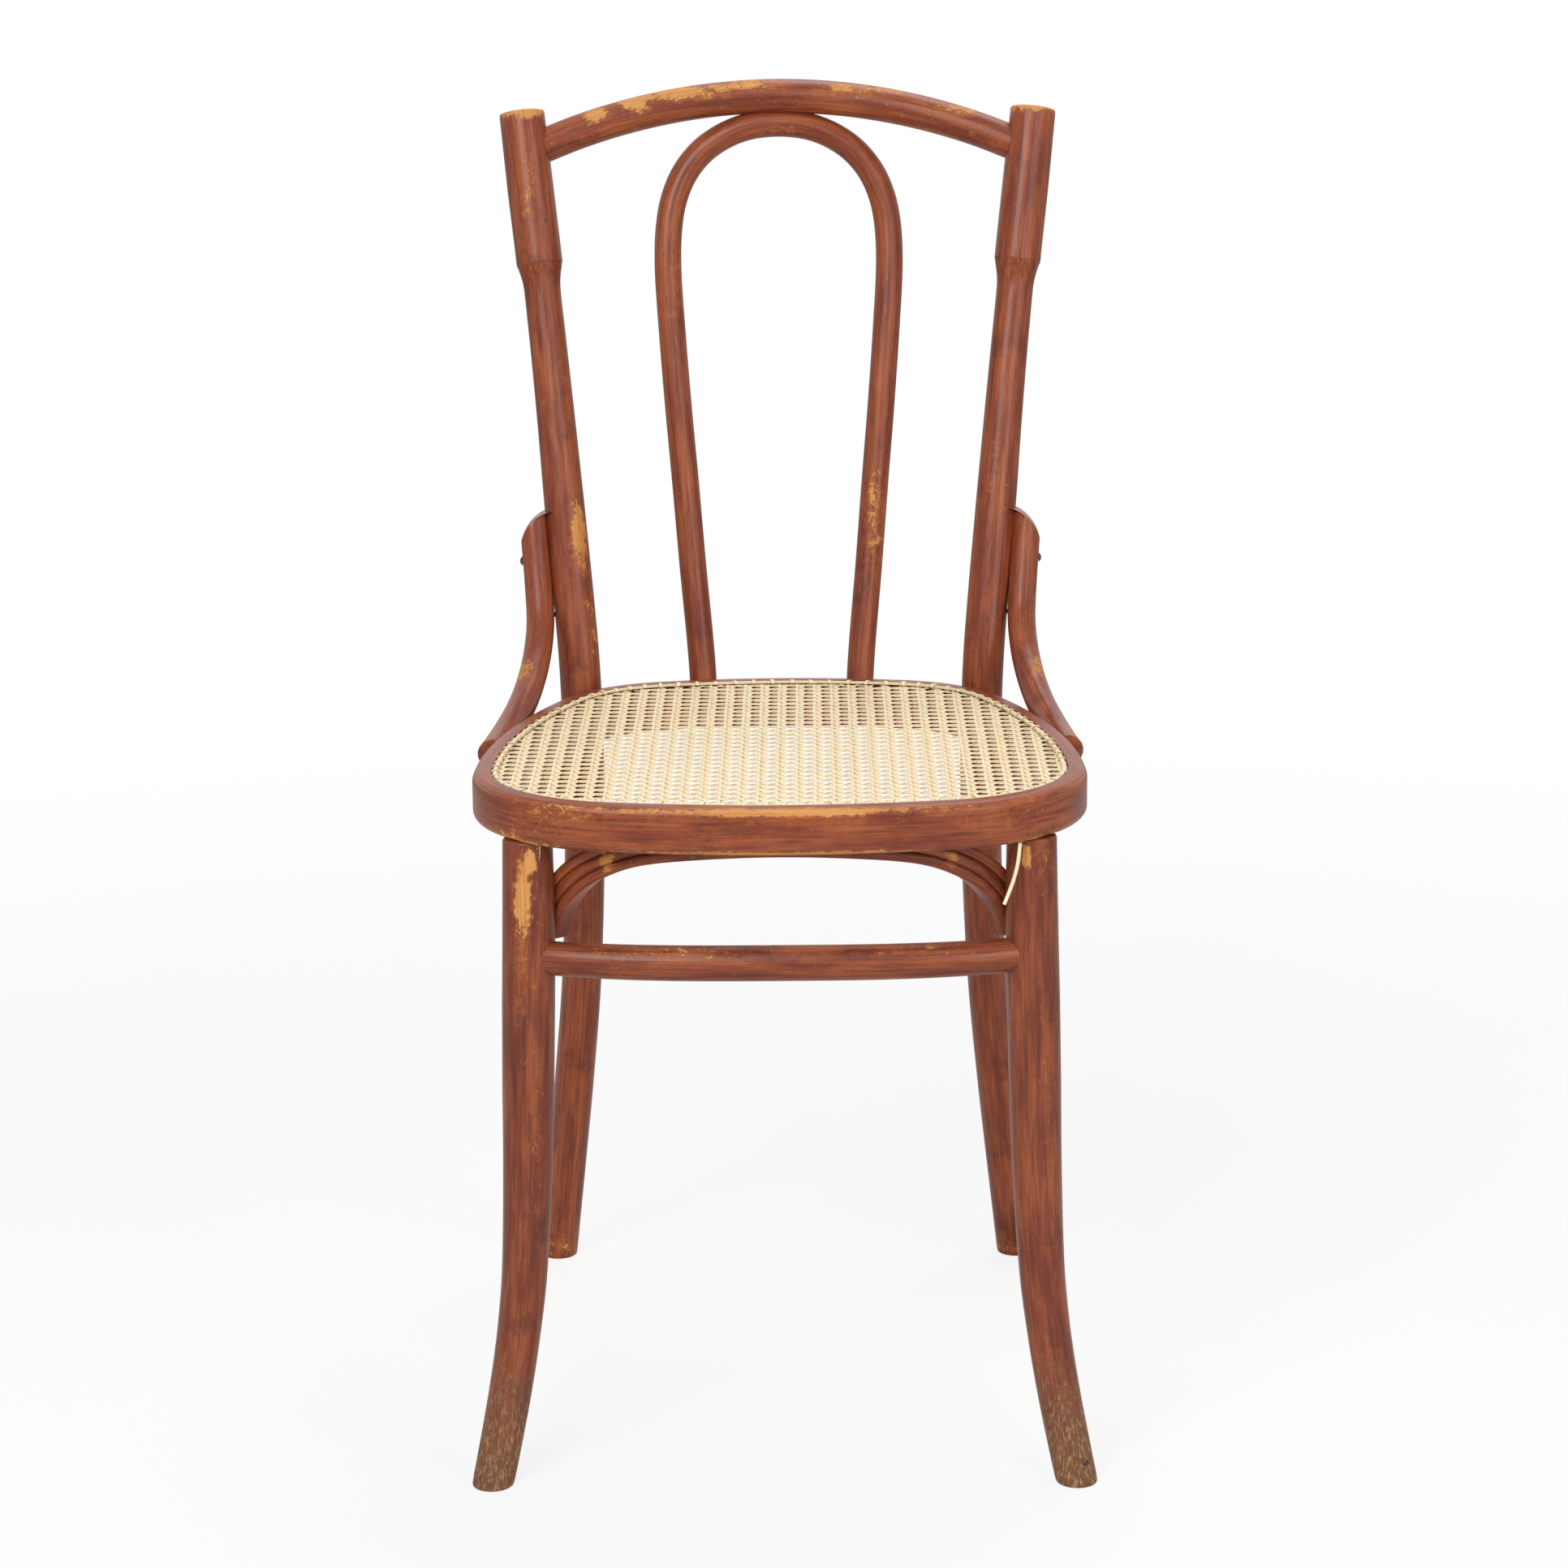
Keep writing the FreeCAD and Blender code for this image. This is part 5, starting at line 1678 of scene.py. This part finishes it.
@dataclass
class Studio:
    """Camera, plain white surroundings and soft lamps."""

    focal_length: float = 100.64
    sensor: float = 36.0
    camera_place: tuple[float, float, float] = (0.0198, -2.9584, 1.1156)
    pitch: float = 0.23163
    yaw: float = 0.00602
    roll: float = -0.00861
    aim: tuple[float, float, float] = (0.0, 0.0, 0.45)
    key_power: float = 66.0
    lamps: tuple[tuple[str, tuple[float, float, float], float, float], ...] = (
        ("key", (-1.0, -2.4, 2.4), 1.5, 1.0),
        ("fill", (1.7, -2.1, 1.4), 1.5, 0.40),
        ("back", (0.4, 1.2, 3.0), 1.6, 0.55),
    )
    world_light: float = 0.27
    floor_half_size: float = 12.0
    floor_colour: Colour = (0.86, 0.86, 0.86, 1.0)
    glow_starts_and_ends: tuple[float, float] = (0.6, 2.2)
    glow_near: float = 0.82

    def add_camera(self) -> None:
        """Make the scene's camera at the photograph's viewpoint."""
        data = bpy.data.cameras.new("camera")
        data.sensor_width = self.sensor
        data.lens = self.focal_length
        camera = bpy.data.objects.new("camera", data)
        turn = Matrix.Rotation(self.yaw, 4, "Z") @ Matrix.Rotation(math.pi / 2 - self.pitch, 4, "X")
        turn = turn @ Matrix.Rotation(self.roll, 4, "Z")
        camera.matrix_world = Matrix.Translation(self.camera_place) @ turn
        bpy.context.scene.collection.objects.link(camera)
        bpy.context.scene.camera = camera

    def add_lamp(self, name: str, place: Vector, target: Vector, size: float, power: float) -> None:
        """Hang a square soft lamp.

        Args:
            name: its name.
            place: where it hangs.
            target: what it points at.
            size: its side, in metres.
            power: its power in watts.
        """
        data = bpy.data.lights.new(name, "AREA")
        data.shape = "SQUARE"
        data.size = size
        data.energy = power
        lamp = bpy.data.objects.new(name, data)
        lamp.location = place
        lamp.rotation_euler = (target - place).to_track_quat("-Z", "Y").to_euler()
        bpy.context.scene.collection.objects.link(lamp)

    def add_world(self) -> None:
        """Surround the scene with white that lights it at a plain level."""
        world = bpy.data.worlds.new("studio")
        world.use_nodes = True
        tree = world.node_tree
        tree.nodes.clear()
        rays = tree.nodes.new("ShaderNodeLightPath")
        shown = tree.nodes.new("ShaderNodeMath")
        shown.operation = "MAXIMUM"
        tree.links.new(rays.outputs["Is Camera Ray"], shown.inputs[0])
        tree.links.new(rays.outputs["Is Glossy Ray"], shown.inputs[1])
        light = tree.nodes.new("ShaderNodeBackground")
        light.inputs["Strength"].default_value = self.world_light
        white = tree.nodes.new("ShaderNodeBackground")
        white.inputs["Strength"].default_value = 1.0
        for node in (light, white):
            node.inputs["Color"].default_value = WHITE
        mix = tree.nodes.new("ShaderNodeMixShader")
        tree.links.new(shown.outputs[0], mix.inputs[0])
        tree.links.new(light.outputs[0], mix.inputs[1])
        tree.links.new(white.outputs[0], mix.inputs[2])
        output = tree.nodes.new("ShaderNodeOutputWorld")
        tree.links.new(mix.outputs[0], output.inputs["Surface"])
        bpy.context.scene.world = world

    def add_floor(self) -> None:
        """Lay a pale floor that shows white to the camera and keeps the chair's shadow."""
        bm = bmesh.new()
        bmesh.ops.create_grid(bm, x_segments=1, y_segments=1, size=self.floor_half_size)
        mesh = bpy.data.meshes.new("floor")
        bm.to_mesh(mesh)
        bm.free()
        g = Graph("white_floor")
        g.finish(base_color=self.floor_colour, roughness=0.9, specular_ior_level=0.0)
        away = g.add("ShaderNodeVectorMath", {"operation": "LENGTH"}, {0: g.place()}, "Value")
        rays = g.add("ShaderNodeLightPath", result="Is Camera Ray")
        glow = g.add("ShaderNodeEmission", {}, {"Color": WHITE, "Strength": 1.0})
        shader = Signal(g, g.shader.outputs[0])
        share = rays * away.ramp(*self.glow_starts_and_ends, self.glow_near, 1.0)
        mixed = g.add("ShaderNodeMixShader", {}, {0: share, 1: shader, 2: glow})
        output = next(node for node in g.tree.nodes if node.type == "OUTPUT_MATERIAL")
        g.tree.links.new(mixed.socket, output.inputs["Surface"])
        mesh.materials.append(g.material)
        floor = bpy.data.objects.new("floor", mesh)
        bpy.context.scene.collection.objects.link(floor)

    def build(self) -> None:
        """Add the surroundings."""
        bpy.context.scene.view_settings.view_transform = "Standard"
        self.add_world()
        self.add_floor()
        for name, place, size, share in self.lamps:
            self.add_lamp(name, Vector(place), Vector(self.aim), size, self.key_power * share)


# The chair


@dataclass
class BistroChair:
    """All the chair's pieces and the finishes that they share."""

    lacquer: LacquerFinish = field(default_factory=LacquerFinish)
    # The front legs' copy scuffs near the floor, and its body and warm tones are darker than the other
    # members' lacquer.
    leg_lacquer: LacquerFinish = LacquerFinish(
        name="scuffed_red_brown_lacquer",
        body=(0.165, 0.034, 0.017, 1.0),
        warm=(0.315, 0.082, 0.029, 1.0),
        scuffing=1.0,
    )
    cane: CaneFinish = field(default_factory=CaneFinish)
    steel: SteelFinish = field(default_factory=SteelFinish)
    peg: PegFinish = field(default_factory=PegFinish)
    steel_nodes: tuple[str, ...] = (
        "post_bolts",
        "post_bolt_washers",
        "post_bolt_nuts",
        "hoop_foot_screws",
        "hip_brace_post_screws",
        "hip_brace_seat_screws",
        "front_arch_leg_screws",
        "side_arch_seat_screws",
        "side_arch_leg_screws",
        "crest_rail_pins",
        "front_stretcher_pins",
        "front_arch_seat_screws",
        "foot_nail",
    )

    def dress_node(self, node: bpy.types.Object, material: bpy.types.Material) -> None:
        """Give a CAD node its finish."""
        node.data.materials.clear()
        node.data.materials.append(material)

    def build(self, nodes: dict[str, bpy.types.Object], loose_end: bpy.types.Object) -> None:
        """Build and dress the chair.

        Args:
            nodes: the CAD nodes by name.
            loose_end: the strand made before everything else.
        """
        lacquer, scuffed_lacquer = self.lacquer.make(), self.leg_lacquer.make()
        cane, steel, peg = self.cane.make(), self.steel.make(), self.peg.make()
        outline = SeatOutline()
        loose_end.data.materials.append(cane)
        SeatRing(outline).build(lacquer)
        BackPosts().build(lacquer)
        CrestRail().build(lacquer)
        BackHoop().build(lacquer)
        FrontLegs().build(scuffed_lacquer)
        HipBraces().build(lacquer)
        ReededArches(outline).build(lacquer)
        CaneSeat(outline, random.Random(SEED)).build(cane)
        for name in self.steel_nodes:
            self.dress_node(nodes[name], steel)
        self.dress_node(nodes["leg_lock_pegs"], peg)
        self.dress_node(nodes["hoop_crest_dowel"], peg)
        self.dress_node(nodes["cane_lacing"], cane)


def main() -> None:
    """Load the frame, build the scene and note its size."""
    logging.basicConfig(level=logging.INFO, format="%(name)s: %(message)s")
    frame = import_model()
    studio = Studio()
    studio.add_camera()
    loose_end = LooseEnd().build()
    BistroChair().build(frame["nodes"], loose_end)
    studio.build()
    bpy.context.view_layer.update()


if __name__ == "__main__":
    main()
